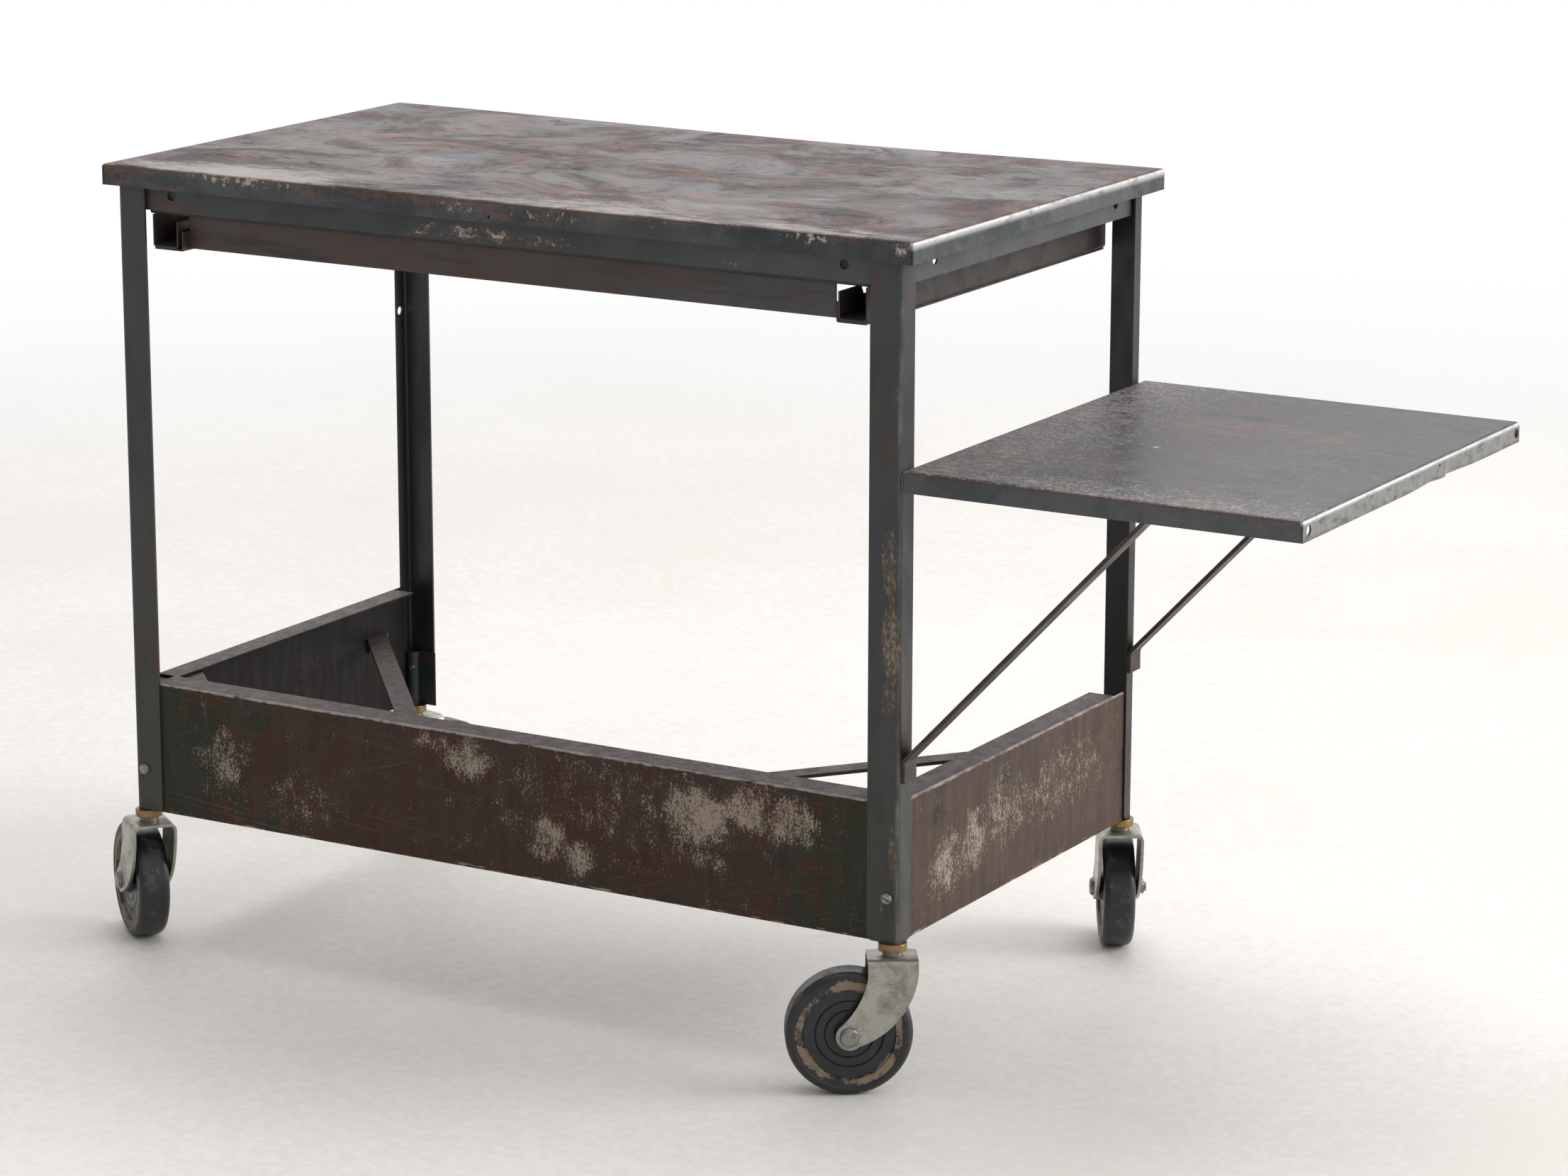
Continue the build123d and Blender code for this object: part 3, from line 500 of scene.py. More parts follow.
def top_material():
    """The top: a worn working surface with painted rims."""
    graph = Graph("top_paint_worn")
    low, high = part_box("table_top")
    surface, masks = top_surface(graph, low)
    rim, chips, bright = top_rim(graph, high, masks)
    colour = graph.mix(graph.toward(UP), rim, surface)
    gloss = graph.noise((110, 90, 90), detail=12.0, roughness=0.72, warp=0.8, seed=29.0)
    dull = graph.either(graph.both(masks["rusty"], 0.6), masks["sooty"], graph.both(masks["wiped"], 0.7))
    roughness = graph.raised(graph.fade(gloss, 0.40, 0.60, 0.44, 0.30), (dull, 0.12))
    shine = graph.raised(graph.fade(gloss, 0.38, 0.62, 0.12, 0.48), (masks["sooty"], -0.12))
    sunk = graph.either(
        chips,
        graph.both(masks["specks"], 0.5),
        graph.both(masks["sooty"], 0.5),
        graph.both(masks["blue"], 0.2),
    )
    return graph.finish(colour, roughness, graph.both(bright, 0.7), sheet_relief(graph, sunk), shine)


def leaf_surface(graph, low, high):
    """The leaf's upper face, dark with a rust streak: its colour, its speckle and a grain."""
    broad = graph.noise((80, 46, 46), detail=8.0, roughness=0.62, warp=0.7, seed=31.0)
    swirls = graph.noise((44, 24, 24), detail=9.0, roughness=0.66, warp=0.8, seed=33.0)
    fine = graph.noise(2.4, detail=5.0, roughness=0.84, seed=35.0)
    medium = graph.noise((12, 7, 7), detail=7.0, roughness=0.72, seed=36.0)
    grain = graph.noise((0.8, 60, 0.8), turn=(0, 0, -14), detail=2.0, roughness=0.6, seed=37.0)
    cross_grain = graph.noise((50, 0.8, 0.8), turn=(0, 0, 6), detail=2.0, roughness=0.6, seed=38.0)
    brown_grain = graph.noise((60, 40, 40), detail=8.0, seed=41.0)

    near = graph.either(
        graph.fade(graph.x, low.x + 150 * MM, low.x),
        graph.fade(graph.y, low.y + 90 * MM, low.y, 0.0, 0.8),
    )
    away = graph.fade(graph.x, low.x + 100 * MM, high.x, 0.2, 1.0)
    lines = graph.either(graph.fade(grain, 0.62, 0.72), graph.fade(cross_grain, 0.66, 0.74))
    streak_amount = graph.both(graph.spots(*LEAF_STREAKS), 0.66)
    streak = graph.worn(streak_amount, (swirls, 2.2), (fine, 1.6), soft=0.6)
    speckle = graph.worn(graph.raised(0.26, (near, 0.36)), (fine, 3.4), (medium, 1.2), soft=0.3)
    blue = graph.worn(0.42, (broad, 3.0), (medium, 1.0))
    brown = graph.worn(graph.raised(0.36, (near, 0.2)), (brown_grain, 3.0), (medium, 1.0), soft=0.5)
    mark = graph.worn(graph.spot(*LEAF_MARK), (fine, 2.0))
    colour = graph.layers(
        LEAF_DARK,
        (blue, TOP_BLUE),
        (brown, TOP_BROWN),
        (graph.both(streak, 0.6), TOP_RUST),
        (graph.both(speckle, 0.7), TOP_WIPED),
        (graph.both(lines, away, 0.45), TOP_WIPED),
        (graph.both(mark, 0.6), CREAM),
    )
    return colour, speckle, medium


def leaf_rim(graph, low, high, medium):
    """The leaf's rims, with rust along the foot of the outer one, a painted highlight along the outer
    fold, and faces that look right painted lighter as painted light: their colour, rust and painted fold
    highlight.
    """
    rust_grain = graph.noise((20, 24, 7), detail=7.0, roughness=0.7, seed=43.0)
    brown_grain = graph.noise((50, 30, 10), detail=7.0, roughness=0.65, seed=45.0)
    olive_grain = graph.noise((30, 24, 9), detail=7.0, seed=47.0)
    highlight_grain = graph.noise((12, 20, 8), detail=6.0, roughness=0.7, seed=49.0)

    fold = graph.fade(graph.z, high.z - 5 * MM, high.z - 1 * MM)
    outer = graph.fade(graph.x, high.x - 3.5 * MM, high.x - 1 * MM)
    foot = graph.fade(graph.z, low.z + 9 * MM, low.z, 0.0, 0.7)
    rust = graph.both(graph.worn(foot, (rust_grain, 2.4)), outer)
    grey = graph.worn(0.8, (medium, 2.0), soft=0.6)
    # Painted highlight: a broken pale line along the outer rim's upper fold
    bright = graph.both(fold, outer, graph.worn(0.90, (highlight_grain, 1.6), soft=0.5))
    colour = graph.layers(
        BLUE_GREY,
        # Painted light: faces that look right, towards the key light, painted a lighter grey
        (graph.both(graph.toward(RIGHT), grey, 0.75), RIM_LIT_GREY),
        (graph.worn(0.32, (brown_grain, 2.6)), BROWN),
        (graph.both(outer, graph.worn(0.34, (olive_grain, 2.6))), OLIVE),
        (graph.both(fold, graph.fade(outer, 1.0, 0.0), 0.6), RUST),
        (graph.both(rust, 0.8), RUST),
        (bright, FOLD_HIGHLIGHT),
    )
    return colour, rust, bright


def leaf_material():
    """The side leaf: dark and finely speckled, with grey rims, the right-facing rim painted lighter as
    painted light and a painted highlight along its outer fold.
    """
    graph = Graph("leaf_paint_worn")
    low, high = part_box("side_leaf")
    surface, speckle, medium = leaf_surface(graph, low, high)
    rim, rust, bright = leaf_rim(graph, low, high, medium)
    colour = graph.mix(graph.toward(UP), rim, surface)
    gloss = graph.noise((40, 30, 30), detail=7.0, roughness=0.7, seed=51.0)
    roughness = graph.raised(graph.uneven(gloss, 0.38, 0.50), (speckle, 0.1))
    outward = graph.fade(graph.x, low.x, high.x, 0.0, 0.3)
    shine = graph.math("ADD", graph.fade(gloss, 0.41, 0.59, 0.36, 0.70), outward)
    relief = sheet_relief(graph, graph.either(graph.both(speckle, 0.35), rust))
    return graph.finish(colour, roughness, graph.both(bright, 0.7), relief, shine)


def apron_material():
    """The frame's aprons: blue-grey paint with chipped primer along the middle of the front."""
    graph = Graph("apron_paint_worn")
    brown_grain = graph.noise((90, 60, 14), detail=7.0, roughness=0.65, seed=53.0)
    grit = graph.noise((4, 4, 3), detail=7.0, roughness=0.76, seed=59.0)
    blotch = graph.noise((16, 16, 9), detail=5.0, roughness=0.6, seed=60.0)
    edge_grain = graph.noise(12, detail=6.0, seed=61.0)
    gloss = graph.noise(30, detail=6.0, seed=63.0)

    places = graph.spots(*APRON_CHIPS)
    chips = graph.worn(graph.both(places, 0.50), (grit, 2.2), (blotch, 1.6))
    halo = graph.worn(graph.both(places, 0.75), (grit, 1.6), (blotch, 1.6))
    brown = graph.worn(0.42, (brown_grain, 3.0))
    leftward = graph.fade(graph.x, 0.1, -0.2, 0.4, 1.0)
    bottom = graph.fade(graph.z, 0.6385, 0.6368)
    colour = graph.layers(
        PETROL,
        (graph.fade(graph.x, -0.1, 0.2), BLUE_GREY),
        (graph.both(brown, leftward), BROWN),
        (graph.both(halo, 0.7), RUST),
        (graph.both(chips, 0.85), CREAM),
        (graph.both(bottom, graph.worn(0.5, (edge_grain, 2.4)), 0.6), RUST),
    )
    relief = sheet_relief(graph, chips, ripple=0.2)
    return graph.finish(colour, graph.uneven(gloss, 0.36, 0.55), 0.0, relief)


def leg_material():
    """The legs: blue-grey over brown, greener near the floor, rubbed on the front right one, with a faint
    painted highlight along its outer fold.
    """
    graph = Graph("leg_paint_worn")
    low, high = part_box("leg_front_right")
    drips = graph.noise((12, 12, 110), detail=7.0, roughness=0.65, seed=65.0)
    grit = graph.noise((2.5, 2.5, 5), detail=7.0, roughness=0.78, seed=73.0)
    scratch_grain = graph.noise((0.8, 6, 60), turn=(0, 3, 0), detail=2.0, seed=75.0)
    fold_grain = graph.noise((8, 8, 30), detail=6.0, seed=77.0)
    gloss = graph.noise((20, 20, 50), detail=6.0, seed=79.0)

    places = graph.spots(*LEG_RUBS)
    rubbed = graph.worn(graph.both(places, 0.62), (grit, 2.6), (drips, 1.2))
    stained = graph.worn(graph.both(places, 1.0), (grit, 1.4), (drips, 1.4))
    fold = graph.both(
        graph.fade(graph.x, high.x - 4 * MM, high.x - 1 * MM),
        graph.fade(graph.y, low.y + 4 * MM, low.y + 1 * MM),
    )
    # Painted highlight: a faint broken pale line along the front right leg's outer fold
    bright = graph.both(fold, graph.worn(0.55, (fold_grain, 2.0), soft=0.6))
    olive = graph.both(graph.fade(graph.z, 0.34, 0.16), graph.fade(drips, 0.64, 0.44))
    behind = graph.fade(graph.y, 0.0, 0.15)
    colour = graph.layers(
        PETROL,
        (graph.worn(0.45, (drips, 3.0), (grit, 0.6)), BROWN),
        (olive, OLIVE),
        (graph.both(behind, 0.75), NEAR_BLACK),
        (graph.both(stained, 0.7), LEG_STAIN),
        (graph.both(graph.fade(scratch_grain, 0.68, 0.75), 0.3), DUST),
        (graph.both(rubbed, 0.7), LEG_RUB),
        (graph.both(bright, 0.15), FOLD_HIGHLIGHT),
    )
    relief = sheet_relief(graph, graph.both(rubbed, 0.6), ripple=0.12)
    return graph.finish(colour, graph.uneven(gloss, 0.38, 0.56), 0.0, relief)


def skirt_chips_and_highlight(graph, low, high):
    """Paint knocked off a skirt along its foot, and pale marks along its upper fold that are partly
    chipped paint and partly a painted highlight.
    """
    fold_grain = graph.noise((16, 16, 5), detail=7.0, roughness=0.72, seed=97.0)
    foot_grain = graph.noise((22, 22, 4), detail=7.0, roughness=0.72, seed=99.0)
    tilt = graph.split(graph.facing)[2]
    fold = graph.fade(graph.z, high.z - 4 * MM, high.z - 0.6 * MM)
    bend = graph.both(graph.fade(tilt, 0.05, 0.35), graph.fade(tilt, 0.995, 0.93), fold)
    foot = graph.fade(graph.z, low.z + 5 * MM, low.z + 0.5 * MM)
    # Partly chipped paint, partly a painted highlight along the upper fold
    fold_chips_and_highlight = graph.worn(graph.both(bend, 0.80), (fold_grain, 2.0), soft=0.5)
    foot_chips = graph.worn(graph.both(foot, 0.50), (foot_grain, 2.6))
    return fold_chips_and_highlight, foot_chips


def skirt_material(name, inward, rub_places, base, streak_colour, green_share):
    """A skirt panel: brown patina in vertical streaks, with pale rubbed places and chipped edges, a
    painted highlight mixed into the chips along its upper fold, and its inner face painted near black as
    painted shade.
    """
    graph = Graph(name)
    low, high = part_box("skirt_front")
    streaks = graph.noise((5, 5, 60), detail=8.0, roughness=0.68, seed=91.0)
    cloud = graph.noise((60, 60, 46), detail=7.0, roughness=0.6, warp=0.5, seed=93.0)
    brushed = graph.noise((2.4, 2.4, 14), detail=6.0, roughness=0.72, seed=94.0)
    grit = graph.noise((1.6, 1.6, 2.6), detail=5.0, roughness=0.8, seed=95.0)
    blotch = graph.noise((13, 13, 18), detail=6.0, roughness=0.7, seed=96.0)
    long_lines = graph.noise((170, 170, 0.7), turn=(0, 5, 0), detail=1.0, seed=101.0)
    short_lines = graph.noise((70, 70, 0.7), turn=(0, -18, 0), detail=1.0, seed=103.0)
    lint_grain = graph.noise(3, detail=6.0, roughness=0.8, seed=105.0)
    gloss = graph.noise((9, 9, 60), detail=6.0, seed=107.0)

    left_end = graph.fade(graph.x, low.x + 180 * MM, low.x)
    right_end = graph.fade(graph.x, high.x - 150 * MM, high.x)
    green_amount = graph.both(graph.raised(0.2, (graph.either(left_end, right_end), 0.85)), green_share)
    green = graph.worn(green_amount, (cloud, 3.0), (streaks, 0.8))
    rubs = graph.spots(*rub_places)
    rubbed = graph.worn(graph.both(rubs, 0.69), (grit, 3.6), (brushed, 1.2), (blotch, 2.0), soft=0.3)
    haze = graph.worn(graph.both(rubs, 0.86), (grit, 1.4), (brushed, 1.4), (blotch, 1.4), soft=0.6)
    streaked = graph.worn(0.56, (streaks, 0.9), (cloud, 1.8), (grit, 0.8), soft=1.0)
    shaded = graph.worn(0.36, (cloud, 3.0), soft=0.6)
    lines = graph.either(graph.fade(long_lines, 0.68, 0.72), graph.fade(short_lines, 0.71, 0.75))
    lint = graph.fade(graph.worn(0.62, (lint_grain, 3.0)), 0.0, 1.0, 0.45, 0.95)
    fold_chips_and_highlight, foot_chips = skirt_chips_and_highlight(graph, low, high)
    inside = graph.toward(inward)
    colour = graph.layers(
        base,
        (streaked, streak_colour),
        (graph.both(shaded, 0.45), DARK_BROWN),
        (graph.both(green, 0.75), GREEN),
        (graph.both(haze, 0.35), SKIRT_HAZE),
        (graph.both(rubbed, 0.8), SKIRT_RUB),
        (graph.both(lines, 0.35), SKIRT_HAZE),
        (graph.both(foot_chips, 0.7), SKIRT_RUB),
        # Painted shade: the inner face, looking into the table, painted near black
        (graph.both(inside, 0.9), NEAR_BLACK),
        (graph.both(graph.toward(UP), lint), SKIRT_DUST),
        # Pale along the upper fold: partly chipped paint, partly a painted highlight
        (graph.both(fold_chips_and_highlight, 0.85), SKIRT_FOLD),
    )
    relief = sheet_relief(graph, graph.either(graph.both(rubbed, 0.5), fold_chips_and_highlight), ripple=0.2)
    shine = graph.fade(inside, 0.0, 1.0, 0.24, 0.12)
    return graph.finish(colour, graph.uneven(gloss, 0.46, 0.64), 0.0, relief, shine)


def dusty_material(name, colour, seed):
    """Dull dark sheet with dust lying on the faces that look up."""
    graph = Graph(name)
    mottle = graph.noise((60, 60, 12), detail=7.0, roughness=0.65, seed=seed)
    lint_grain = graph.noise(4, detail=6.0, roughness=0.8, seed=seed + 2)
    scuff_grain = graph.noise((40, 40, 1.5), detail=3.0, seed=seed + 4)
    gloss = graph.noise(20, detail=5.0, seed=seed + 6)
    upward = graph.fade(graph.split(graph.facing)[2], 0.4, 0.9)
    lint = graph.fade(lint_grain, 0.38, 0.60)
    shade = graph.layers(
        colour,
        (graph.fade(mottle, 0.44, 0.60), DARK_BROWN),
        (graph.both(graph.fade(scuff_grain, 0.64, 0.72), 0.4), DUST),
        (graph.both(upward, lint, 0.85), DUST),
    )
    relief = sheet_relief(graph, graph.both(lint, 0.3))
    return graph.finish(shade, graph.uneven(gloss, 0.45, 0.65), 0.0, relief)


def cross_strip_material():
    """The strip across the drawer bay: brown at its left end and blue-grey towards the right."""
    graph = Graph("cross_strip_paint")
    low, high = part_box("cross_strip")
    cloud = graph.noise((120, 60, 16), detail=7.0, roughness=0.6, seed=121.0)
    specks = graph.noise((5, 5, 3), detail=6.0, roughness=0.75, seed=123.0)
    gloss = graph.noise(30, detail=5.0, seed=125.0)
    grit = graph.fade(specks, 0.58, 0.66)
    rightward = graph.fade(graph.x, low.x + 200 * MM, high.x)
    edge = graph.fade(graph.z, low.z + 3 * MM, low.z)
    colour = graph.layers(
        STRIP_BROWN,
        (graph.fade(cloud, 0.52, 0.66), DARK_BROWN),
        (graph.both(rightward, graph.fade(cloud, 0.40, 0.56)), BLUE_GREY),
        (graph.both(grit, 0.25), DUST),
        (graph.both(edge, 0.4), RUST),
    )
    relief = sheet_relief(graph, graph.both(grit, 0.3), ripple=0.15)
    return graph.finish(colour, graph.uneven(gloss, 0.45, 0.6), 0.0, relief)


def metal_material(name, bright, dull, gloss, cell, seed, stain):
    """Plated or bare metal that has gone dull and rougher in blots, with a trace of rust."""
    graph = Graph(name)
    blot_grain = graph.noise(cell, detail=9.0, roughness=0.74, warp=0.5, seed=seed)
    pit_grain = graph.noise(1.6, detail=4.0, roughness=0.7, seed=seed + 2)
    rust_grain = graph.noise(cell * 0.8, detail=7.0, roughness=0.7, seed=seed + 4)
    blots = graph.fade(blot_grain, 0.40, 0.72)
    pits = graph.fade(pit_grain, 0.60, 0.70)
    rust = graph.fade(rust_grain, 0.60, 0.68)
    colour = graph.layers(
        bright,
        (graph.both(blots, stain), dull),
        (graph.both(pits, 0.5), dull),
        (graph.both(rust, 0.7), METAL_RUST),
    )
    cover = graph.either(graph.both(blots, stain * 0.6), rust)
    metallic = graph.fade(cover, 0.0, 1.0, 0.85, 0.15)
    roughness = graph.fade(blots, 0.0, 1.0, *gloss)
    height = graph.math("SUBTRACT", 1.0, graph.either(pits, rust))
    return graph.finish(colour, roughness, metallic, graph.bump(height, PIT_DEPTH))


def wheel_material(name, centre, axle, seed):
    """Hard rubber with a tan band worn round the shoulder of its tread."""
    graph = Graph(name)
    offset = graph.vector("SUBTRACT", graph.place, centre)
    radius = graph.vector("LENGTH", graph.vector("CROSS_PRODUCT", offset, axle))
    wave = graph.noise(16, detail=5.0, seed=seed)
    arcs = graph.noise((34, 34, 34), detail=2.0, seed=seed + 1)
    grit = graph.noise(1.8, detail=5.0, roughness=0.8, seed=seed + 2)
    cloud = graph.noise(16, detail=6.0, roughness=0.65, seed=seed + 3)
    flakes = graph.noise(6, detail=6.0, seed=seed + 4)

    wobble = graph.math("MULTIPLY", graph.math("SUBTRACT", wave, 0.5), BAND_WOBBLE)
    worn_radius = graph.math("ADD", radius, wobble)
    band = graph.both(graph.fade(worn_radius, *BAND_INNER), graph.fade(worn_radius, *BAND_OUTER))
    tan = graph.worn(graph.both(band, 0.82), (arcs, 2.2), (grit, 1.2), (flakes, 1.6))
    haze = graph.fade(cloud, 0.45, 0.62)
    scuffed = graph.worn(graph.both(graph.fade(radius, *TREAD), 0.5), (grit, 2.0), (haze, 0.5))
    specks = graph.fade(grit, 0.64, 0.72)
    colour = graph.layers(
        RUBBER,
        (graph.both(haze, 0.5), RUBBER_HAZE),
        (graph.both(tan, 0.8), RUBBER_WEAR),
        (graph.both(scuffed, 0.5), RUBBER_SCUFF),
        (graph.both(specks, 0.35), RUBBER_SPECK),
    )
    roughness = graph.raised(graph.fade(haze, 0.0, 1.0, 0.34, 0.52), (tan, 0.25))
    height = graph.math("SUBTRACT", 1.0, graph.either(graph.both(specks, 0.6), tan))
    return graph.finish(colour, roughness, 0.0, graph.bump(height, CHIP_DEPTH))


def smooth_folds():
    """A node group that shades a piece smoothly except across its sharp edges."""
    group = bpy.data.node_groups.new("smooth_folds", "GeometryNodeTree")
    group.interface.new_socket("Geometry", in_out="INPUT", socket_type="NodeSocketGeometry")
    group.interface.new_socket("Geometry", in_out="OUTPUT", socket_type="NodeSocketGeometry")
    nodes = group.nodes
    start = nodes.new("NodeGroupInput")
    end = nodes.new("NodeGroupOutput")
    faces = nodes.new("GeometryNodeSetShadeSmooth")
    edges = nodes.new("GeometryNodeSetShadeSmooth")
    edges.domain = "EDGE"
    edges.inputs["Shade Smooth"].default_value = False
    angle = nodes.new("GeometryNodeInputMeshEdgeAngle")
    sharp = nodes.new("FunctionNodeCompare")
    sharp.operation = "GREATER_THAN"
    sharp.inputs[1].default_value = math.radians(SHARP_ANGLE)
    group.links.new(angle.outputs["Unsigned Angle"], sharp.inputs[0])
    group.links.new(sharp.outputs[0], edges.inputs["Selection"])
    group.links.new(start.outputs[0], faces.inputs["Geometry"])
    group.links.new(faces.outputs[0], edges.inputs["Geometry"])
    group.links.new(edges.outputs[0], end.inputs[0])
    return group


def shade_smoothly(group, pieces):
    for piece in pieces:
        modifier = piece.modifiers.new("smooth_folds", "NODES")
        modifier.node_group = group


def hump(value, start, peak, end):
    """A rounded rise from 0 at start to 1 at the peak and back to 0 at the end."""
    if not start < value < end:
        return 0.0
    share = (value - start) / (peak - start) if value < peak else (end - value) / (end - peak)
    return share * share * (3 - 2 * share)


def cut_across(shape, axis, places):
    """Cut a sheet along planes square to an axis, so that it can bend there."""
    normal = Vector([float(index == axis) for index in range(3)])
    for place in places:
        geometry = shape.verts[:] + shape.edges[:] + shape.faces[:]
        bmesh.ops.bisect_plane(
            shape,
            geom=geometry,
            plane_co=normal * place,
            plane_no=normal,
            dist=WELD_DISTANCE,
        )


def handled_sheet(node, name, cuts, move):
    """A copy of a CAD sheet, cut along extra lines and bent a little, which stands in for it."""
    shape = bmesh.new()
    shape.from_mesh(frame["nodes"][node].data)
    bmesh.ops.remove_doubles(shape, verts=shape.verts, dist=WELD_DISTANCE)
    for axis, places in cuts:
        cut_across(shape, axis, places)
    for vertex in shape.verts:
        vertex.co += move(vertex.co)
    mesh = bpy.data.meshes.new(name)
    shape.to_mesh(mesh)
    shape.free()
    piece = bpy.data.objects.new(name, mesh)
    bpy.context.collection.objects.link(piece)
    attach(piece, "root")
    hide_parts(node)
    return piece


def spaced(start, end, step):
    """Places between two limits, a step apart."""
    count = int((end - start) / step)
    return [start + step * (index + 0.5) for index in range(count)]


def sagging_top():
    """The top sheet, slightly sunk towards its rear edge and a little uneven from use."""
    low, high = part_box("table_top")
    middle = (low.x + high.x) / 2

    def move(place):
        along = hump(place.x, low.x, middle + 60 * MM, high.x)
        back = max(0.0, (place.y - low.y) / (high.y - low.y))
        overhang = hump(place.y, high.y - 16 * MM, high.y, high.y + 16 * MM)
        inside = hump(place.x, low.x, middle, high.x) * hump(place.y, low.y, 0.0, high.y)
        unevenness = noise.noise(Vector((place.x * 14, place.y * 14, 3.0)))
        sink = TOP_SAG * along * back + TOP_EDGE_SAG * along * overhang
        return Vector((0, 0, -sink - TOP_DENT * inside * (0.5 + 0.5 * unevenness)))

    cuts = (
        (0, spaced(low.x + CUT_MARGIN, high.x - CUT_MARGIN, BEND_STEP)),
        (1, spaced(low.y + CUT_MARGIN, high.y - CUT_MARGIN, BEND_STEP)),
    )
    return handled_sheet("table_top", "table_top_sheet", cuts, move)


def knocked_leaf():
    """The side leaf, with the lower lip of its outer rim knocked out of line beside the pin hole."""
    low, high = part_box("side_leaf")
    middle = (low.x + high.x) / 2
    lip_top = high.z - LEAF_FOLD
    rim_inner = high.x - 3 * MM
    rim_outer = high.x + 3 * MM

    def move(place):
        depth = max(0.0, min(1.0, (lip_top - place.z) / (lip_top - low.z)))
        on_rim = hump(place.x, rim_inner, high.x, rim_outer) > 0.1
        lean = hump(place.y, DENT_PLACE - DENT_REACH, DENT_PLACE, DENT_PLACE + DENT_REACH)
        ridge = hump(place.y, DENT_PLACE - DENT_FRONT_FLANK, DENT_PLACE, DENT_PLACE + DENT_REAR_FLANK)
        inside = hump(place.x, low.x, middle, high.x) * hump(place.y, low.y, 0.0, high.y)
        unevenness = noise.noise(Vector((place.x * 12, place.y * 12, 7.0)))
        push = DENT_DEPTH * depth * (ridge - lean) if on_rim else 0.0
        return Vector((push, 0, -LEAF_DENT * inside * (0.5 + 0.5 * unevenness)))

    close_cuts = spaced(DENT_PLACE - 40 * MM, DENT_PLACE + 30 * MM, DENT_STEP)
    wide_cuts = [place for place in spaced(low.y, high.y, BEND_STEP) if abs(place - DENT_PLACE) > 45 * MM]
    cuts = (
        (0, spaced(low.x + CUT_MARGIN, high.x - CUT_MARGIN, BEND_STEP)),
        (1, wide_cuts + close_cuts),
        (2, spaced(low.z, high.z - 3 * MM, RIM_STEP)),
    )
    return handled_sheet("side_leaf", "side_leaf_sheet", cuts, move)


def dress(piece, material):
    piece.data.materials.clear()
    piece.data.materials.append(material)


def assign(material, *names):
    for name in names:
        dress(frame["nodes"][name], material)


def paint_sheets(corners):
    """The painted sheet parts: aprons, legs, skirts, braces, straps and runners."""
    assign(apron_material(), *(f"apron_{edge}" for edge in ("front", "rear", "left", "right")))
    assign(leg_material(), *(f"leg_{corner}" for corner in corners))
    assign(dusty_material("brace_paint", BROWN, 141.0), "leaf_brace_front", "leaf_brace_rear")
    front = skirt_material("skirt_front_patina", REARWARD, FRONT_RUBS, SKIRT_BROWN, BROWN, 1.0)
    left = skirt_material("skirt_left_patina", RIGHT, SIDE_RUBS, SKIRT_BROWN, BROWN, 0.6)
    # The right skirt takes lighter browns than the front and left ones: partly painted light, as that
    # side faces the key light.
    right = skirt_material("skirt_right_patina", LEFT, SIDE_RUBS, BROWN, LIT_SIDE_BROWN, 0.2)
    assign(front, "skirt_front")
    assign(left, "skirt_left")
    assign(right, "skirt_right")
    assign(dusty_material("strap_paint", BROWN, 151.0), "strap_left", "strap_right", "corner_gussets")
    sockets = dusty_material("socket_paint", DEEP_PETROL, 161.0)
    assign(sockets, *(f"caster_socket_{corner}" for corner in corners))
    assign(cross_strip_material(), "cross_strip")
    # Painted shade: the hanger rails are coloured near black so the narrow gap under the front apron
    # reads as dark
    assign(dusty_material("rail_painted_shade", NEAR_BLACK, 171.0), "hanger_rail_front", "hanger_rail_rear")
    runners = dusty_material("runner_brown", DARK_BROWN, 176.0)
    for side in ("left", "right"):
        assign(runners, f"runner_strip_{side}", f"drawer_runner_{side}")


def paint_metal(corners):
    """The bare and plated parts: fasteners, collars and forks."""
    steel = metal_material("dull_steel", STEEL, STEEL_DIRT, (0.35, 0.6), 6.0, 181.0, 0.8)
    brass = metal_material("tarnished_brass", BRASS, BRASS_TARNISH, (0.22, 0.42), 14.0, 191.0, 0.9)
    zinc = metal_material("dull_zinc", ZINC, ZINC_DIRT, (0.32, 0.54), 20.0, 201.0, 0.75)
    assign(steel, "socket_screws", "leaf_bolts", "leaf_nuts")
    for corner in corners:
        assign(steel, f"stem_{corner}", f"thrust_ring_{corner}")
        assign(steel, f"axle_bolt_{corner}", f"wheel_bush_{corner}")
        assign(brass, f"collar_{corner}")
        assign(zinc, f"fork_{corner}")


def paint_wheels():
    """Each wheel's wear runs round its own axle, and no two wheels are worn alike."""
    for joint in frame["joints"]:
        if joint["name"].startswith("roll_"):
            corner = joint["name"].removeprefix("roll_")
            low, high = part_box(f"wheel_{corner}")
            centre = tuple((low + high) / 2)
            seed = WHEEL_SEED + 10 * (centre[0] > 0) + 5 * (centre[1] > 0)
            rubber = wheel_material(f"rubber_{corner}", centre, tuple(joint["axis"]), seed)
            assign(rubber, f"wheel_{corner}")


def floor_material():
    """A pale floor that fades to white away from the table."""
    graph = Graph("pale_floor")
    broad = graph.noise((500, 500, 500), detail=5.0, seed=301.0)
    fine = graph.noise((9, 9, 9), detail=4.0, seed=303.0)
    tone = graph.math("ADD", graph.both(broad, 0.5), graph.both(fine, 0.5))
    colour = graph.mix(graph.fade(tone, 0.40, 0.60), FLOOR_DARK, FLOOR_LIGHT)
    floor = graph.coat(colour, FLOOR_ROUGHNESS)
    glow = graph.nodes.new("ShaderNodeEmission")
    glow.inputs["Color"].default_value = WHITE
    blend = graph.nodes.new("ShaderNodeMixShader")
    graph.put(blend.inputs[0], graph.fade(graph.vector("LENGTH", graph.place), *FLOOR_FADE))
    graph.links.new(floor, blend.inputs[1])
    graph.links.new(glow.outputs[0], blend.inputs[2])
    return graph.close(blend.outputs[0])


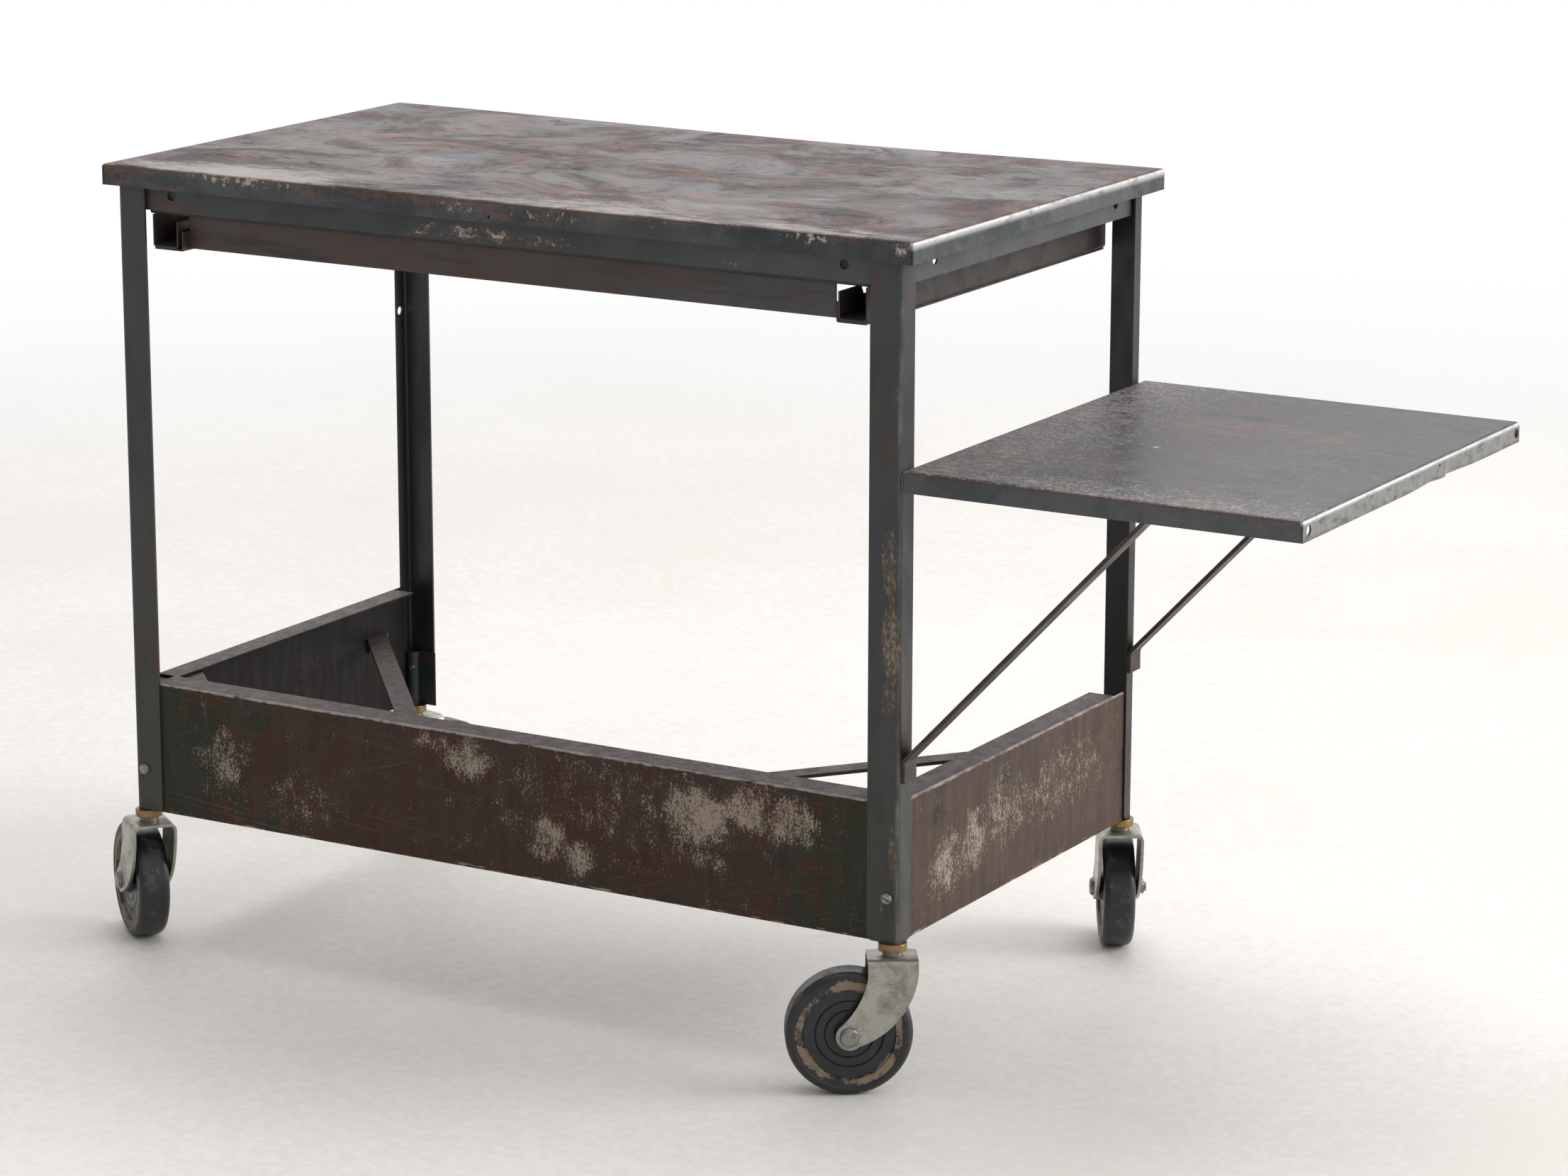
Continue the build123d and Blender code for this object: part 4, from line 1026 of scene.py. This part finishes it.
def make_floor():
    mesh = bpy.data.meshes.new("floor")
    shape = bmesh.new()
    bmesh.ops.create_circle(shape, cap_ends=True, segments=FLOOR_SEGMENTS, radius=FLOOR_RADIUS)
    shape.to_mesh(mesh)
    shape.free()
    floor = bpy.data.objects.new("floor", mesh)
    bpy.context.collection.objects.link(floor)
    dress(floor, floor_material())


def make_world():
    """A white studio that is brighter behind the table and to its right."""
    world = bpy.data.worlds.new("studio")
    bpy.context.scene.world = world
    world.use_nodes = True
    nodes = world.node_tree.nodes
    links = world.node_tree.links
    background = nodes["Background"]
    background.inputs["Color"].default_value = WHITE
    direction = nodes.new("ShaderNodeTexCoord").outputs["Generated"]
    dot = nodes.new("ShaderNodeVectorMath")
    dot.operation = "DOT_PRODUCT"
    dot.inputs[1].default_value = BRIGHT_SIDE
    links.new(direction, dot.inputs[0])
    ramp = nodes.new("ShaderNodeMapRange")
    ramp.interpolation_type = "SMOOTHSTEP"
    links.new(dot.outputs["Value"], ramp.inputs[0])
    for index, setting in enumerate((*WORLD_TURN, *WORLD_STRENGTH)):
        ramp.inputs[index + 1].default_value = setting
    links.new(ramp.outputs[0], background.inputs["Strength"])


def add_softbox(name, place, size, power):
    lamp = bpy.data.lights.new(name, "AREA")
    lamp.shape = "SQUARE"
    lamp.size = size
    lamp.energy = power
    softbox = bpy.data.objects.new(name, lamp)
    softbox.location = place
    aim = Vector(LAMP_TARGET) - Vector(place)
    softbox.rotation_euler = aim.to_track_quat("-Z", "Y").to_euler()
    bpy.context.collection.objects.link(softbox)


def make_camera():
    camera = bpy.data.cameras.new("camera")
    camera.sensor_width = SENSOR_WIDTH
    camera.lens = FOCAL_LENGTH
    view = bpy.data.objects.new("camera", camera)
    tilt = Matrix.Rotation(math.radians(90 - CAMERA_PITCH), 4, "X")
    turn = Matrix.Rotation(math.radians(CAMERA_YAW), 4, "Z")
    roll = Matrix.Rotation(math.radians(CAMERA_ROLL), 4, "Z")
    view.matrix_world = Matrix.Translation(CAMERA_PLACE) @ turn @ tilt @ roll
    bpy.context.collection.objects.link(view)
    bpy.context.scene.camera = view


corner_names = [f"{end}_{side}" for end in ("front", "rear") for side in ("left", "right")]
paint_sheets(corner_names)
paint_metal(corner_names)
paint_wheels()
top_sheet = sagging_top()
leaf_sheet = knocked_leaf()
dress(top_sheet, top_material())
dress(leaf_sheet, leaf_material())
shown = [piece for name, piece in frame["nodes"].items() if name not in ("table_top", "side_leaf")]
shade_smoothly(smooth_folds(), [*shown, top_sheet, leaf_sheet])
make_floor()
make_world()
add_softbox("key", KEY_PLACE, KEY_SIZE, KEY_POWER)
add_softbox("overhead", OVERHEAD_PLACE, OVERHEAD_SIZE, OVERHEAD_POWER)
make_camera()
bpy.context.scene.view_settings.view_transform = "Standard"
